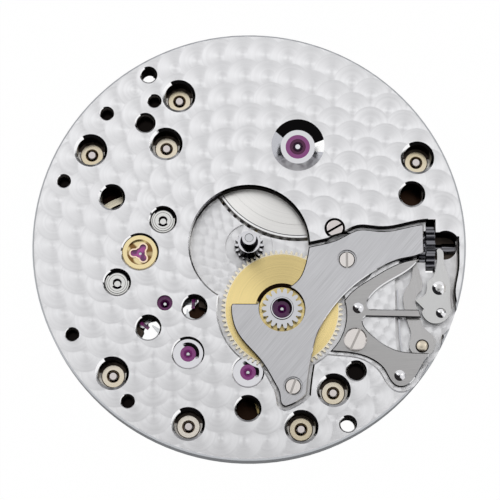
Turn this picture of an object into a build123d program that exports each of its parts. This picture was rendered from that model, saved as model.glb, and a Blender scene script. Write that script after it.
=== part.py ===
from build123d import *
import math
import os

# Hand-wound watch movement. Millimetres, +Z out of the dial side, +X to 3 o'clock, +Y to 12 o'clock.
# The origin is on the centre axis, in the plane of the bridges' outer faces. Heights in this source
# are measured from the plate's dial face, and the finished pieces are raised at the end.

# Main plate and bridges
plate_radius = 15.0
plate_thickness = 2.2
plate_edge_chamfer = 0.12
bridge_thickness = 1.2
bridge_web = 0.5
bridge_margin = 0.5
bridge_gap = 0.2
recess_bevel = 0.11
cut_overrun = 0.3

# Heights of the recesses, measured down from the dial face
motion_recess_depth = 1.1
bridge_recess_depth = 0.62
keyless_recess_depth = 1.26
barrel_ceiling_depth = 1.0
third_ceiling_depth = 1.75
pallet_screw_room = 0.09
fourth_ceiling_depth = 2.08
hole_floor_depth = 1.6

# Gears
barrel_teeth = 66
centre_pinion_teeth = 12
centre_wheel_teeth = 80
third_pinion_teeth = 10
third_wheel_teeth = 75
fourth_pinion_teeth = 10
fourth_wheel_teeth = 80
escape_pinion_teeth = 8
escape_teeth = 15
cannon_teeth = 16
minute_wheel_teeth = 72
minute_pinion_teeth = 18
setting_wheel_teeth = 30
ratchet_teeth = 64
crown_teeth = 40
winding_pinion_teeth = 16
sliding_pinion_teeth = 14
wheel_thickness = 0.18
ratchet_thickness = 0.23
addendum_share = 0.95
dedendum_share = 1.25
tooth_root_share = 0.6
tooth_pitch_share = 0.42
tooth_tip_share = 0.2
leaf_root_share = 0.8
leaf_pitch_share = 0.6
leaf_tip_share = 0.32
wheel_spokes = 5
spoke_width = 0.32
rim_width = 0.42
hub_radius = 0.75

# Running clearances
pivot_clearance = 0.02
turning_clearance = 0.05
fit_gap = 0.03
pocket_gap = 0.2

# Barrel
barrel_wall = 0.32
barrel_height = 1.4
barrel_rim_thickness = 0.24
barrel_cover_thickness = 0.2
barrel_drum_gap = 0.25
arbor_core_radius = 1.3
arbor_pivot_radius = 0.33
arbor_neck_radius = 0.6
barrel_countersink_radius = 1.85
barrel_jewel_radius = 0.85
barrel_ring_radius = 1.2

# Balance and escapement
balance_size_share = 0.3067
balance_rim_width = 0.45
balance_thickness = 0.22
timing_screw_radius = 0.13
timing_screw_length = 0.3
timing_screws_count = 12
staff_radius = 0.28
pivot_radius = 0.1
roller_radius = 1.15
roller_pin_radius = 0.11
roller_pin_reach = 0.8
escape_wheel_thickness = 0.18
pallet_stone_width = 0.24
pallet_stone_length = 0.7
pallet_lock_angle = 30.0
pallet_stone_hold_share = 0.7
pallet_bridge_waist_share = 0.8
pallet_boss_share = 1.6
fork_notch_overrun = 1.0
escape_spokes = 4
balance_arms = 2
fork_width = 0.32
fork_notch_width = 0.3
hairspring_turns = 4
hairspring_pitch = 0.48
hairspring_blade = 0.05
hairspring_height = 0.15
hairspring_start = 0.62

# Motion work
cannon_height = 2.3
cannon_pipe_radius = 0.485
cannon_body_radius = 0.78
cannon_bore_radius = 0.3
minute_sink_gap = 0.36
centre_recess_radius = 4.11
centre_sink_radius = 1.66
chaton_radius = 0.76
chaton_sink_radius = 0.7
jewel_radius = 0.54
jewel_setting_radius = 1.04
hub_hole_radius = 1.62
minute_hub_radius = 1.57
minute_groove_depth = 0.1
minute_groove_width = 0.3

# Minute-train bridge, jumper, lever and yoke: how deep each one's top lies, and its thickness
minute_bridge_depth = 0.25
minute_bridge_thickness = 0.35
jumper_depth = 0.35
jumper_thickness = 0.25
lever_depth = 0.66
lever_thickness = 0.24
yoke_depth = 0.96
yoke_thickness = 0.24
spring_blade = 0.12

# Winding and setting works
stem_depth = 1.7
stem_radius = 0.36
stem_hole_radius = 0.4
stem_groove_radius = 0.2
stem_groove_width = 0.45
stem_square = 0.5
winding_pinion_length = 0.6
sliding_pinion_radius = 1.0
sliding_pinion_length = 2.85
sliding_groove_radius = 0.55
sliding_groove_width = 0.52
lever_pin_radius = 0.1

# Screws and bushes
screw_head_radius = 0.85
screw_head_height = 0.35
screw_shank_radius = 0.29
screw_slot_width = 0.16
screw_slot_depth = 0.14
bush_radius = 0.76
bush_bore_radius = 0.33
bush_length = 0.65
small_head_radius = 0.6
small_head_height = 0.3
small_shank_radius = 0.25
hole_chamfer = 0.14
bridge_hole_chamfer = 0.19
small_hole_chamfer = 0.05
large_hole_chamfer = 0.1
bush_sink_radius = 0.45
bush_sink_depth = 0.2
screw_end_chamfer = 0.05
screw_length = 1.95
bridge_slot_start = 30
bridge_slot_turn = 47
head_chamfer_share = 0.12

# Jewels, settings and shock blocks
jewel_hole_radius = 0.12
oil_sink_share = 0.62
jewel_top_depth = 0.5
jewel_thickness = 0.45
setting_top_depth = 0.35
shock_radius = 1.23
shock_ring_radius = 0.9
shock_jewel_radius = 0.7
shock_heart_radius = 0.34
shock_lobe_radius = 0.22
shock_lobe_reach = 0.44
shock_spring_wire = 0.1
shock_window_wall = 0.1
shock_lobes = 3
shock_first_lobe = 62
shock_top_depth = 0.12
shock_sink_depth = 0.4
centre_bore_radius = 0.42
barrel_sink_depth = 0.55
pallet_foot_radius = 0.62
pallet_foot_reach = 3.0
pallet_head_height = 0.15
ring_post_outer = 0.7
ring_post_bore = 0.3
ring_post_pin = 0.22
ring_post_depth = 0.35

# Arbors
centre_arbor_radius = 0.39
centre_post_radius = 0.27
arbor_radius = 0.2
pallet_staff_radius = 0.16
pivot_room = 0.15
leaf_room = 0.25

# Winding works on the back
crown_hub_radius = 1.1
crown_screw_radius = 1.6
ratchet_square = 0.8
ratchet_screw_radius = 1.0
click_post_radius = 0.45
click_radius = 0.8
click_pocket_radius = 1.5
click_angle = 140.0
click_nose_angle = 128.0
click_spring_angle = 116.0
click_reach = 1.75
click_flank_angle = 80
stem_pocket_length = 1.25
stem_pocket_half = 0.85

# Plates, pins and springs of the motion and keyless works
plate_chamfer = 0.06
minute_sunk_radius = 0.68
minute_sunk_depth = 0.17
minute_head_radius = 0.56
minute_slot_angles = [90, 70]
minute_pinion_pitch = 1.27
jumper_head_radius = 0.8
jumper_head_height = 0.25
jumper_slot_angle = 65
dome_pin_radius = 0.38
setting_post_radius = 0.5
dome_pin_height = 0.16
yoke_post_radius = 0.44
lever_dome_radius = 0.48
lever_pin_dome_radius = 0.35
lever_tip_share = (0.8805, -0.026)
yoke_spring_foot_share = (0.706, -0.525)
yoke_spring_bend_share = (0.694, -0.42)
yoke_spring_tip_share = (0.684, -0.2)
yoke_spring_foot_radius = 0.3
cannon_leaf_top = -0.3
cannon_shoulder = 0.9
chaton_top_depth = 0.12
jewel_sink_radius = 0.78
fork_hub_radius = 0.42
fork_arm_end = 0.26
escape_rim_share = 0.7
escape_tooth_shares = [
    (0.8, -0.3), (0.82, -0.12), (0.99, 0.0), (1.0, 0.05), (0.97, 0.07), (0.8, 0.16),
]
balance_angle = 20
hairspring_angle = 200
stud_radius = 0.15
barrel_cover_groove = 0.3
mainspring_inner_share = 0.62


# Places on the plate, as shares of its radius: x to 3 o'clock, y to 12 o'clock
barrel_share = (0.2267, 0.47)
minute_share = (0.1513, -0.2967)
fourth_share = (-0.0053, -0.5913)
escape_share = (-0.28, -0.506)
pallet_share = (-0.3873, -0.274)
balance_share = (-0.504, -0.0353)
setting_share = (0.451, -0.068)
crown_share = (0.6007, 0.0)
stem_groove_share = 0.88
bridge_screw_shares = [
    (-0.328, 0.704), (-0.387, 0.475), (-0.736, 0.444), (0.781, 0.409),
    (-0.626, -0.6), (-0.278, -0.833), (0.386, -0.678), (0.238, -0.846),
]
ring_post_shares = [(-0.399, 0.116), (-0.608, -0.178)]
dial_foot_shares = [(-0.47, 0.806), (0.45, -0.833)]
window_shares = [(-0.636, 0.222), (0.753, 0.236), (-0.006, -0.762)]
pallet_window_shares = [(-0.252, -0.294), (-0.463, -0.389)]
case_hole_shares = [(-0.663, 0.62), (-0.442, 0.68), (-0.859, 0.298), (-0.811, -0.421), (-0.554, -0.729)]
large_hole_shares = [(-0.484, 0.575), (0.489, -0.589)]
minute_screw_shares = [setting_share, (0.201, -0.658)]
jumper_screw_share = (0.487, -0.441)
dome_pin_shares = [(0.501, -0.294), (0.689, -0.607)]
yoke_post_share = (0.796, -0.465)
lever_pivot_share = (0.876, -0.198)
lever_pin_share = (0.883, -0.314)

# Hole radii
ring_post_radius = 0.88
dial_foot_radius = 0.52
window_radius = 0.8
pallet_window_radius = 0.82
case_hole_radius = 0.46
case_hole_depth = 1.2
large_hole_radius = 0.635
bridge_hole_radius = 0.98

# Outlines seen from the dial side, as shares of the plate radius. The lists of corners number the
# points where an outline turns sharply; between two corners it runs in one smooth curve.
minute_bridge_shares = [
    (0.806, 0.097), (0.806, -0.034), (0.751, -0.056), (0.692, -0.068), (0.648, -0.085),
    (0.573, -0.125), (0.485, -0.188), (0.417, -0.254), (0.355, -0.336), (0.313, -0.415),
    (0.288, -0.512), (0.272, -0.604), (0.262, -0.694), (0.233, -0.72), (0.166, -0.751),
    (0.148, -0.739), (0.139, -0.694), (0.118, -0.645), (0.057, -0.542), (-0.024, -0.452),
    (-0.061, -0.396), (-0.079, -0.338), (-0.083, -0.286), (-0.077, -0.275), (0.038, -0.275),
    (0.125, -0.228), (0.196, -0.19), (0.231, -0.157), (0.256, -0.103), (0.269, -0.052),
    (0.276, -0.009), (0.331, 0.002), (0.411, 0.026), (0.479, 0.062), (0.507, 0.071),
    (0.587, 0.066), (0.646, 0.066), (0.692, 0.074), (0.768, 0.092),
]
minute_bridge_corners = [0, 1, 12, 14, 22, 23, 24, 30]
jumper_shares = [
    (0.784, -0.064), (0.649, -0.105), (0.566, -0.154), (0.49, -0.204), (0.438, -0.26),
    (0.436, -0.394), (0.4, -0.464), (0.373, -0.494), (0.442, -0.499), (0.511, -0.511),
    (0.573, -0.538), (0.621, -0.582), (0.649, -0.633), (0.684, -0.658), (0.718, -0.655),
    (0.753, -0.626), (0.787, -0.57), (0.822, -0.521), (0.825, -0.504), (0.746, -0.501),
    (0.691, -0.494), (0.621, -0.464), (0.566, -0.422), (0.532, -0.386), (0.521, -0.356),
    (0.535, -0.332), (0.79, -0.337), (0.781, -0.302), (0.552, -0.3), (0.541, -0.274),
    (0.559, -0.239), (0.649, -0.168), (0.774, -0.077),
]
jumper_corners = [0, 4, 7, 17, 18, 25, 26, 27, 28, 32]
yoke_shares = [
    (0.762, -0.03), (0.782, -0.03), (0.786, -0.115), (0.801, -0.176), (0.793, -0.209),
    (0.769, -0.247), (0.772, -0.289), (0.787, -0.331), (0.808, -0.38), (0.85, -0.422),
    (0.857, -0.465), (0.829, -0.505), (0.796, -0.518), (0.751, -0.496), (0.737, -0.458),
    (0.746, -0.416), (0.732, -0.359), (0.718, -0.296), (0.711, -0.247), (0.715, -0.219),
    (0.725, -0.197), (0.753, -0.148),
]
yoke_corners = [0, 1, 4, 21]
lever_shares = [
    (0.868, -0.02), (0.88, -0.012), (0.893, -0.02), (0.899, -0.061), (0.915, -0.125),
    (0.929, -0.179), (0.926, -0.239), (0.927, -0.309), (0.912, -0.338), (0.88, -0.36),
    (0.839, -0.36), (0.806, -0.335), (0.797, -0.309), (0.806, -0.295), (0.768, -0.257),
    (0.78, -0.241), (0.814, -0.223), (0.82, -0.193), (0.824, -0.167), (0.845, -0.149),
    (0.862, -0.11), (0.87, -0.059),
]
lever_corners = [0, 13, 14, 15]
keyless_recess_shares = [
    (0.80, -0.03), (0.70, -0.06), (0.68, -0.12), (0.672, -0.21), (0.672, -0.43),
    (0.69, -0.53), (0.72, -0.60), (0.80, -0.57), (0.868, -0.50), (0.885, -0.42),
    (0.948, -0.37), (0.952, -0.298), (0.942, -0.223), (0.952, -0.157), (0.962, -0.077),
    (0.962, 0.03), (0.865, 0.03), (0.865, -0.03),
]
keyless_recess_corners = [0, 1, 3, 4, 6, 9, 10, 14, 15, 16, 17]
jumper_recess_shares = [
    (0.806, -0.042), (0.645, -0.077), (0.562, -0.124), (0.484, -0.176), (0.423, -0.246),
    (0.421, -0.394), (0.389, -0.46), (0.35, -0.507), (0.442, -0.517), (0.511, -0.529),
    (0.562, -0.555), (0.605, -0.598), (0.634, -0.648), (0.677, -0.68), (0.73, -0.674),
    (0.77, -0.64), (0.805, -0.58), (0.845, -0.52), (0.845, -0.3), (0.80, -0.2),
]
jumper_recess_corners = [0, 4, 5, 7, 17, 18, 19]
barrel_bridge_shares = [
    (-0.56, 1.0), (-0.56, 0.38), (-0.22, 0.38), (0.0, 0.32), (0.3, 0.25),
    (0.55, -0.2), (1.0, -0.2), (1.0, 1.0),
]
train_bridge_shares = [
    (-0.36, -1.0), (-0.39, -0.5), (-0.3, -0.3), (-0.13, -0.1), (-0.13, 0.3),
    (1.0, 0.3), (1.0, -1.0),
]
balance_bridge_shares = [
    (-0.84, 0.4), (-0.76, 0.54), (-0.64, 0.5), (-0.62, 0.36), (-0.42, 0.06),
    (-0.41, -0.12), (-0.52, -0.46), (-0.5, -0.64), (-0.62, -0.74), (-0.74, -0.62),
    (-0.7, -0.46), (-0.6, -0.12), (-0.6, 0.04), (-0.74, 0.28),
]


def place(share):
    return (share[0] * plate_radius, share[1] * plate_radius)


def outline(shares):
    return [place(share) for share in shares]


def polar(radius, angle, centre=(0, 0)):
    return (
        centre[0] + radius * math.cos(math.radians(angle)),
        centre[1] + radius * math.sin(math.radians(angle)),
    )


def distance(first, second):
    return math.hypot(second[0] - first[0], second[1] - first[1])


def direction(first, second):
    return math.degrees(math.atan2(second[1] - first[1], second[0] - first[0]))


def disc(radius, low, high, at=(0, 0)):
    centred = (Align.CENTER, Align.CENTER, Align.MIN)
    return Pos(at[0], at[1], low) * Cylinder(radius, high - low, align=centred)


def ring(outer, inner, low, high, at=(0, 0)):
    return disc(outer, low, high, at) - disc(inner, low - cut_overrun, high + cut_overrun, at)


def cone(low_radius, high_radius, low, high, at=(0, 0)):
    centred = (Align.CENTER, Align.CENTER, Align.MIN)
    return Pos(at[0], at[1], low) * Cone(low_radius, high_radius, high - low, align=centred)


def slab(points, low, high):
    face = make_face(Polyline(*points, close=True))
    return Pos(0, 0, low) * extrude(face, high - low, dir=(0, 0, 1))


def smooth_face(points, corners):
    """A flat face whose outline runs straight or in one smooth curve from each corner to the next."""
    edges = []
    for first, last in zip(corners, corners[1:] + [corners[0] + len(points)]):
        run = [points[number % len(points)] for number in range(first, last + 1)]
        edges.append(Line(*run) if len(run) == 2 else Spline(*run))
    return make_face(Wire(edges))


def smooth_slab(shares, corners, low, high):
    face = smooth_face(outline(shares), corners)
    return Pos(0, 0, low) * extrude(face, high - low, dir=(0, 0, 1))


def widened(points, room):
    """The same outline moved outwards by an even distance, its corners kept sharp."""
    count = len(points)
    area = sum(points[i - 1][0] * points[i][1] - points[i][0] * points[i - 1][1] for i in range(count))
    outward = math.copysign(90, -area)
    moved = []
    for number, point in enumerate(points):
        heading = direction(points[number - 1], point)
        bend = (direction(point, points[(number + 1) % count]) - heading + 180) % 360 - 180
        reach = room / math.cos(math.radians(bend / 2))
        moved.append(polar(reach, heading + bend / 2 + outward, point))
    return moved


def recess(shares, corners, room, floor):
    """A recess sunk from the dial face to its floor, with the polished bevel round its rim."""
    points = outline(shares)
    inner = smooth_face(widened(points, room), corners)
    outer = smooth_face(widened(points, room + recess_bevel), corners)
    pocket = Pos(0, 0, floor) * extrude(inner, -floor - recess_bevel, dir=(0, 0, 1))
    rim = loft([Pos(0, 0, -recess_bevel) * inner, outer], ruled=True)
    return pocket + rim + extrude(outer, cut_overrun, dir=(0, 0, 1))


def bar(first, second, half_width, low, high):
    angle = direction(first, second)
    corners = [
        polar(half_width, angle + 90, first), polar(half_width, angle - 90, first),
        polar(half_width, angle - 90, second), polar(half_width, angle + 90, second),
    ]
    return slab(corners, low, high)


def open_hole(radius, low, at, bevel):
    """A hole from the dial face down, with its bright chamfer."""
    shaft = disc(radius, low, cut_overrun, at)
    return shaft + cone(radius, radius + bevel, -bevel, 0, at)


def first_of(shape):
    return max(shape.solids(), key=lambda solid: solid.volume)


slim_teeth = (tooth_root_share, tooth_pitch_share, tooth_tip_share)
full_leaves = (leaf_root_share, leaf_pitch_share, leaf_tip_share)


def tooth_points(teeth, pitch_radius, module, phase, centre, widths=slim_teeth):
    """The corners of a ring of plain teeth, with the first tooth centred on the phase angle."""
    step = 360 / teeth
    root = pitch_radius - dedendum_share * module
    tip = pitch_radius + addendum_share * module
    at_root, at_pitch, at_tip = widths
    profile = [
        (root, -at_root), (pitch_radius, -at_pitch), (tip, -at_tip),
        (tip, at_tip), (pitch_radius, at_pitch), (root, at_root),
    ]
    points = []
    for tooth in range(teeth):
        middle = phase + tooth * step
        points += [polar(radius, middle + share * step / 2, centre) for radius, share in profile]
    return points


def toothed_disc(teeth, pitch_radius, low, high, centre, phase, widths=slim_teeth):
    module = 2 * pitch_radius / teeth
    return slab(tooth_points(teeth, pitch_radius, module, phase, centre, widths), low, high)


def spoke_windows(inner, outer, low, high, centre, spokes, width, phase):
    windows = ring(outer, inner, low - cut_overrun, high + cut_overrun, centre)
    for spoke in range(spokes):
        end = polar(outer + cut_overrun, phase + spoke * 360 / spokes, centre)
        windows -= bar(centre, end, width / 2, low - 2 * cut_overrun, high + 2 * cut_overrun)
    return windows


def train_wheel(teeth, pitch_radius, low, centre, phase, bore):
    high = low + wheel_thickness
    module = 2 * pitch_radius / teeth
    rim = pitch_radius - dedendum_share * module - rim_width
    wheel = toothed_disc(teeth, pitch_radius, low, high, centre, phase)
    wheel -= spoke_windows(hub_radius, rim, low, high, centre, wheel_spokes, spoke_width, phase)
    return wheel - disc(bore, low - cut_overrun, high + cut_overrun, centre)


def meshing_phase(centre, teeth, phase, other_centre, other_teeth):
    """The other gear's phase, so that its gap meets this gear's tooth on the line of centres."""
    line = direction(centre, other_centre)
    offset = ((line - phase) * teeth / 360) % 1
    return line + 180 - (0.5 - offset) * 360 / other_teeth


def screw(head_radius, head_top, head_bottom, shank_radius, shank_bottom, at, slot_angle):
    """A slotted screw that is driven from above."""
    head = disc(head_radius, head_bottom, head_top, at)
    head = chamfer(head.edges().sort_by(Axis.Z)[-1], head_radius * head_chamfer_share)
    ends = [polar(head_radius + cut_overrun, slot_angle + turn, at) for turn in (0, 180)]
    head -= bar(ends[0], ends[1], screw_slot_width / 2, head_top - screw_slot_depth, head_top + cut_overrun)
    return head + disc(shank_radius, shank_bottom, head_bottom, at)


def under_screw(at, slot_angle):
    """A bridge screw, driven from the back, whose end shows in its bush on the dial side."""
    head = disc(screw_head_radius, back, back + screw_head_height, at)
    head = chamfer(head.edges().sort_by(Axis.Z)[0], screw_head_radius * head_chamfer_share)
    ends = [polar(screw_head_radius + cut_overrun, slot_angle + turn, at) for turn in (0, 180)]
    head -= bar(ends[0], ends[1], screw_slot_width, back - cut_overrun, back + screw_slot_depth)
    shank = disc(screw_shank_radius, back + screw_head_height, screw_end, at)
    return head + chamfer(shank.edges().sort_by(Axis.Z)[-1], screw_end_chamfer)


def jewel(radius, hole, low, high, at):
    stone = ring(radius, hole, low, high, at)
    sink = cone(hole, radius * oil_sink_share, high - (high - low) / 2, high + fit_gap, at)
    return stone - sink


def dome(radius, low, height, at):
    """A flat-bottomed domed pin head, turned from a circle through its rim and top."""
    sphere_radius = (radius * radius + height * height) / (2 * height)
    ball = Pos(at[0], at[1], low + height - sphere_radius) * Sphere(sphere_radius)
    return ball & disc(radius, low, low + height, at)


# Heights. The escapement's ceiling leaves the wheel, the pallet bridge and its screws inside the plate.
escape_stack = escape_wheel_thickness + wheel_thickness + pallet_head_height + 3 * turning_clearance
escape_ceiling_depth = plate_thickness - escape_stack - pallet_screw_room
underside = -plate_thickness
back = underside - bridge_thickness
screw_end = -hole_floor_depth + hole_chamfer
motion_floor = -motion_recess_depth
train_web = back + bridge_web
bridge_radius = plate_radius - bridge_margin

# Axes of the moving parts
centre_axis = (0, 0)
barrel_axis = place(barrel_share)
minute_axis = place(minute_share)
fourth_axis = place(fourth_share)
escape_axis = place(escape_share)
pallet_axis = place(pallet_share)
balance_axis = place(balance_share)
setting_axis = place(setting_share)
crown_axis = place(crown_share)
yoke_pivot = place(yoke_post_share)
lever_pivot = place(lever_pivot_share)

# Pitch radii follow from the distances between the axes
barrel_pitch = distance(barrel_axis, centre_axis) * barrel_teeth / (barrel_teeth + centre_pinion_teeth)
centre_pinion_pitch = distance(barrel_axis, centre_axis) - barrel_pitch
centre_to_third = distance(centre_axis, minute_axis)
centre_wheel_pitch = centre_to_third * centre_wheel_teeth / (centre_wheel_teeth + third_pinion_teeth)
third_pinion_pitch = centre_to_third - centre_wheel_pitch
third_to_fourth = distance(minute_axis, fourth_axis)
third_wheel_pitch = third_to_fourth * third_wheel_teeth / (third_wheel_teeth + fourth_pinion_teeth)
fourth_pinion_pitch = third_to_fourth - third_wheel_pitch
fourth_to_escape = distance(fourth_axis, escape_axis)
fourth_wheel_pitch = fourth_to_escape * fourth_wheel_teeth / (fourth_wheel_teeth + escape_pinion_teeth)
escape_pinion_pitch = fourth_to_escape - fourth_wheel_pitch
escape_radius = distance(escape_axis, pallet_axis) * math.cos(math.radians(pallet_lock_angle))
minute_wheel_pitch = centre_to_third * minute_wheel_teeth / (minute_wheel_teeth + cannon_teeth)
cannon_pitch = centre_to_third - minute_wheel_pitch
setting_pitch = distance(minute_axis, setting_axis) - minute_wheel_pitch
minute_sink_radius = minute_wheel_pitch + minute_sink_gap
drum_radius = barrel_pitch * (1 - 2 * dedendum_share / barrel_teeth)
barrel_pocket_radius = drum_radius + barrel_drum_gap
balance_radius = balance_size_share * plate_radius
ratchet_to_crown = distance(barrel_axis, crown_axis)
ratchet_pitch = ratchet_to_crown * ratchet_teeth / (ratchet_teeth + crown_teeth)
crown_pitch = ratchet_to_crown - ratchet_pitch
winding_module = 2 * crown_pitch / crown_teeth
winding_pitch = winding_module * winding_pinion_teeth / 2

# Levels of the wheels, lowest face of each
barrel_top = motion_floor
barrel_bottom = barrel_top - barrel_height
escape_low = -escape_ceiling_depth - turning_clearance - escape_wheel_thickness
third_low = -third_ceiling_depth - turning_clearance - wheel_thickness
fourth_low = -fourth_ceiling_depth - turning_clearance - wheel_thickness
centre_wheel_low = train_web + 2 * turning_clearance
minute_low = motion_floor + turning_clearance
minute_high = minute_low + wheel_thickness
balance_low = underside - 2 * turning_clearance - balance_thickness
hairspring_low = balance_low - 2 * turning_clearance - hairspring_height
ratchet_floor = back + bridge_web - hole_chamfer
ratchet_high = ratchet_floor - fit_gap
ratchet_low = ratchet_high - ratchet_thickness
pallet_bridge_high = escape_low - 2 * turning_clearance
pallet_bridge_low = pallet_bridge_high - wheel_thickness
barrel_bridge_floor = barrel_bottom - turning_clearance
roller_low = escape_low - turning_clearance - wheel_thickness
plate_jewel_reach = -jewel_top_depth - fit_gap
pivot_end = back + pivot_room
shoulder = train_web + turning_clearance
wheel_gap = 2 * turning_clearance
centre_wheel_high = centre_wheel_low + wheel_thickness
jewel_low = -jewel_top_depth - jewel_thickness
bridge_jewel_high = back + jewel_thickness
shock_floor = -shock_top_depth - shock_sink_depth
shock_jewel_high = shock_floor - shock_window_wall
bush_top = underside + bush_length
ratchet_seat = ratchet_low + ratchet_thickness / 3
click_pivot = polar(ratchet_pitch + click_reach, click_angle, barrel_axis)
click_spring_foot = polar(ratchet_pitch + click_reach, click_spring_angle, barrel_axis)

# Turns of the winding wheels: a ratchet gap faces the click's nose
ratchet_phase = click_nose_angle + 180 / ratchet_teeth
crown_phase = meshing_phase(barrel_axis, ratchet_teeth, ratchet_phase, crown_axis, crown_teeth)

nodes = {}
os.makedirs("parts", exist_ok=True)


# Keyless works: what lies along the winding stem, from the plate's edge inwards
stem_groove_place = stem_groove_share * plate_radius
winding_start = crown_axis[0] + crown_pitch - dedendum_share * winding_module + fit_gap
winding_end = winding_start + winding_pinion_length
sliding_end = winding_start - turning_clearance
sliding_start = sliding_end - sliding_pinion_length
stem_tip = sliding_start - 2 * winding_pinion_length


def along_stem(radius, start, end):
    """A round length of the stem line, between two distances from the centre."""
    lying = Pos(start, 0, -stem_depth) * Rot(0, 90, 0)
    return lying * Cylinder(radius, end - start, align=(Align.CENTER, Align.CENTER, Align.MIN))


def tipped_gear(teeth, module, start, end, phase):
    """A gear whose axis is the stem line."""
    points = tooth_points(teeth, module * teeth / 2, module, phase, (0, 0))
    lying = Pos(start, 0, -stem_depth) * Rot(0, 90, 0)
    return lying * slab(points, 0, end - start)


def main_plate():
    plate = disc(plate_radius, underside, 0)
    plate = chamfer(plate.edges(), plate_edge_chamfer)

    # Motion work recesses: centre, minute wheel, setting wheel, bridge and keyless parts
    plate -= open_hole(centre_recess_radius, motion_floor, centre_axis, recess_bevel)
    plate -= open_hole(minute_sink_radius, motion_floor, minute_axis, recess_bevel)
    setting_sink = setting_pitch + 2 * pocket_gap
    plate -= disc(setting_sink, motion_floor, cut_overrun, setting_axis)
    plate -= recess(minute_bridge_shares, minute_bridge_corners, pocket_gap, -bridge_recess_depth)
    plate -= recess(jumper_recess_shares, jumper_recess_corners, 0, -jumper_depth - jumper_thickness)
    plate -= recess(keyless_recess_shares, keyless_recess_corners, 0, -keyless_recess_depth)

    # The setting wheel's post is left standing in its recess, and the bridge is screwed to it
    plate += disc(setting_post_radius, motion_floor, -bridge_recess_depth, setting_axis)
    plate -= disc(centre_sink_radius, motion_floor - 2 * turning_clearance, motion_floor + cut_overrun)

    # Barrel, train and escapement pockets, cut from the back
    below = underside - cut_overrun
    barrel_pocket = disc(barrel_pocket_radius, below, -barrel_ceiling_depth, barrel_axis)
    hub = disc(centre_pinion_pitch, below, 0)
    plate -= barrel_pocket - hub
    pinion_space = centre_pinion_pitch + 2 * pocket_gap
    plate -= disc(pinion_space, below, -third_ceiling_depth)
    plate -= disc(third_wheel_pitch + 2 * pocket_gap, below, -third_ceiling_depth, minute_axis)
    plate -= disc(fourth_wheel_pitch + 2 * pocket_gap, below, -fourth_ceiling_depth, fourth_axis)
    plate -= disc(hub_radius + pocket_gap, below, -third_ceiling_depth, fourth_axis)
    plate -= disc(escape_radius + pocket_gap, below, -escape_ceiling_depth, escape_axis)
    pallet_reach = distance(escape_axis, pallet_axis) * math.sin(math.radians(pallet_lock_angle))
    plate -= disc(pallet_reach + 2 * pocket_gap, below, -escape_ceiling_depth, pallet_axis)
    plate -= bar(pallet_axis, balance_axis, roller_radius, below, -escape_ceiling_depth)
    plate -= disc(roller_radius + 2 * pocket_gap, below, -escape_ceiling_depth, balance_axis)
    ends = pallet_bridge_feet()
    seat = pallet_foot_radius + fit_gap
    plate -= bar(ends[0], ends[1], seat, below, pallet_bridge_high)
    for end in ends:
        plate -= disc(seat, below, pallet_bridge_high, end)
        plate -= disc(small_shank_radius + fit_gap, below, pallet_bridge_high + small_head_height, end)

    # Winding works: slots for the two pinions, the stem's hole and its inner pilot
    pinion_half = winding_pitch + winding_module + pocket_gap
    plate -= bar((winding_start - fit_gap, 0), (winding_end + fit_gap, 0), pinion_half, below, cut_overrun)
    sliding_half = sliding_pinion_radius + turning_clearance
    travel_end = sliding_start - winding_pinion_length
    plate -= bar((travel_end, 0), (winding_start, 0), sliding_half, below, -bridge_recess_depth)
    plate -= along_stem(stem_hole_radius, winding_end, plate_radius + cut_overrun)
    plate -= along_stem(stem_groove_radius + fit_gap, stem_tip - fit_gap, travel_end + fit_gap)
    pocket_end = (stem_groove_place + stem_pocket_length - stem_pocket_half, 0)
    pocket_floor = -stem_depth - stem_groove_radius
    plate -= bar((winding_end, 0), pocket_end, stem_pocket_half, pocket_floor, cut_overrun)
    plate -= open_hole(stem_pocket_half, pocket_floor, pocket_end, recess_bevel)

    # Holes seen on the dial side
    for share in bridge_screw_shares:
        plate -= open_hole(bridge_hole_radius, -hole_floor_depth, place(share), bridge_hole_chamfer)
        plate -= disc(bush_radius, below, -hole_floor_depth + fit_gap, place(share))
    for share in ring_post_shares:
        plate -= open_hole(ring_post_radius, -escape_ceiling_depth, place(share), large_hole_chamfer)
    for share in dial_foot_shares:
        plate -= open_hole(dial_foot_radius, below, place(share), large_hole_chamfer)
    for share in window_shares:
        plate -= open_hole(window_radius, below, place(share), hole_chamfer)
    for share in pallet_window_shares:
        floor = -escape_ceiling_depth - fit_gap
        plate -= open_hole(pallet_window_radius, floor, place(share), large_hole_chamfer)
    for share in case_hole_shares:
        plate -= open_hole(case_hole_radius, -case_hole_depth, place(share), small_hole_chamfer)
    for share in large_hole_shares:
        plate -= open_hole(large_hole_radius, -case_hole_depth, place(share), large_hole_chamfer)
    for share in minute_screw_shares + [jumper_screw_share]:
        plate -= disc(small_shank_radius, -screw_length, cut_overrun, place(share))
    for share in dome_pin_shares:
        plate -= disc(small_shank_radius, -screw_length, cut_overrun, place(share))
    for share in (yoke_post_share, lever_pivot_share):
        plate -= disc(small_shank_radius + pivot_clearance, -screw_length, cut_overrun, place(share))

    # Jewel seats
    for axis in (escape_axis, fourth_axis):
        plate -= open_hole(jewel_setting_radius, below, axis, large_hole_chamfer)
    plate -= disc(jewel_radius, below, cut_overrun, pallet_axis)
    plate -= open_hole(shock_radius, below, balance_axis, large_hole_chamfer)
    plate -= cone(barrel_ring_radius, barrel_countersink_radius, -barrel_sink_depth, 0, barrel_axis)
    plate -= disc(barrel_ring_radius, below, cut_overrun, barrel_axis)
    plate -= disc(chaton_radius, below, cut_overrun, minute_axis)
    plate -= disc(centre_bore_radius, below, cut_overrun)
    return first_of(plate)


def pallet_bridge_feet():
    side = direction(pallet_axis, balance_axis) + 90
    return [polar(pallet_foot_reach, side, pallet_axis), polar(pallet_foot_reach, side + 180, pallet_axis)]


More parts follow.
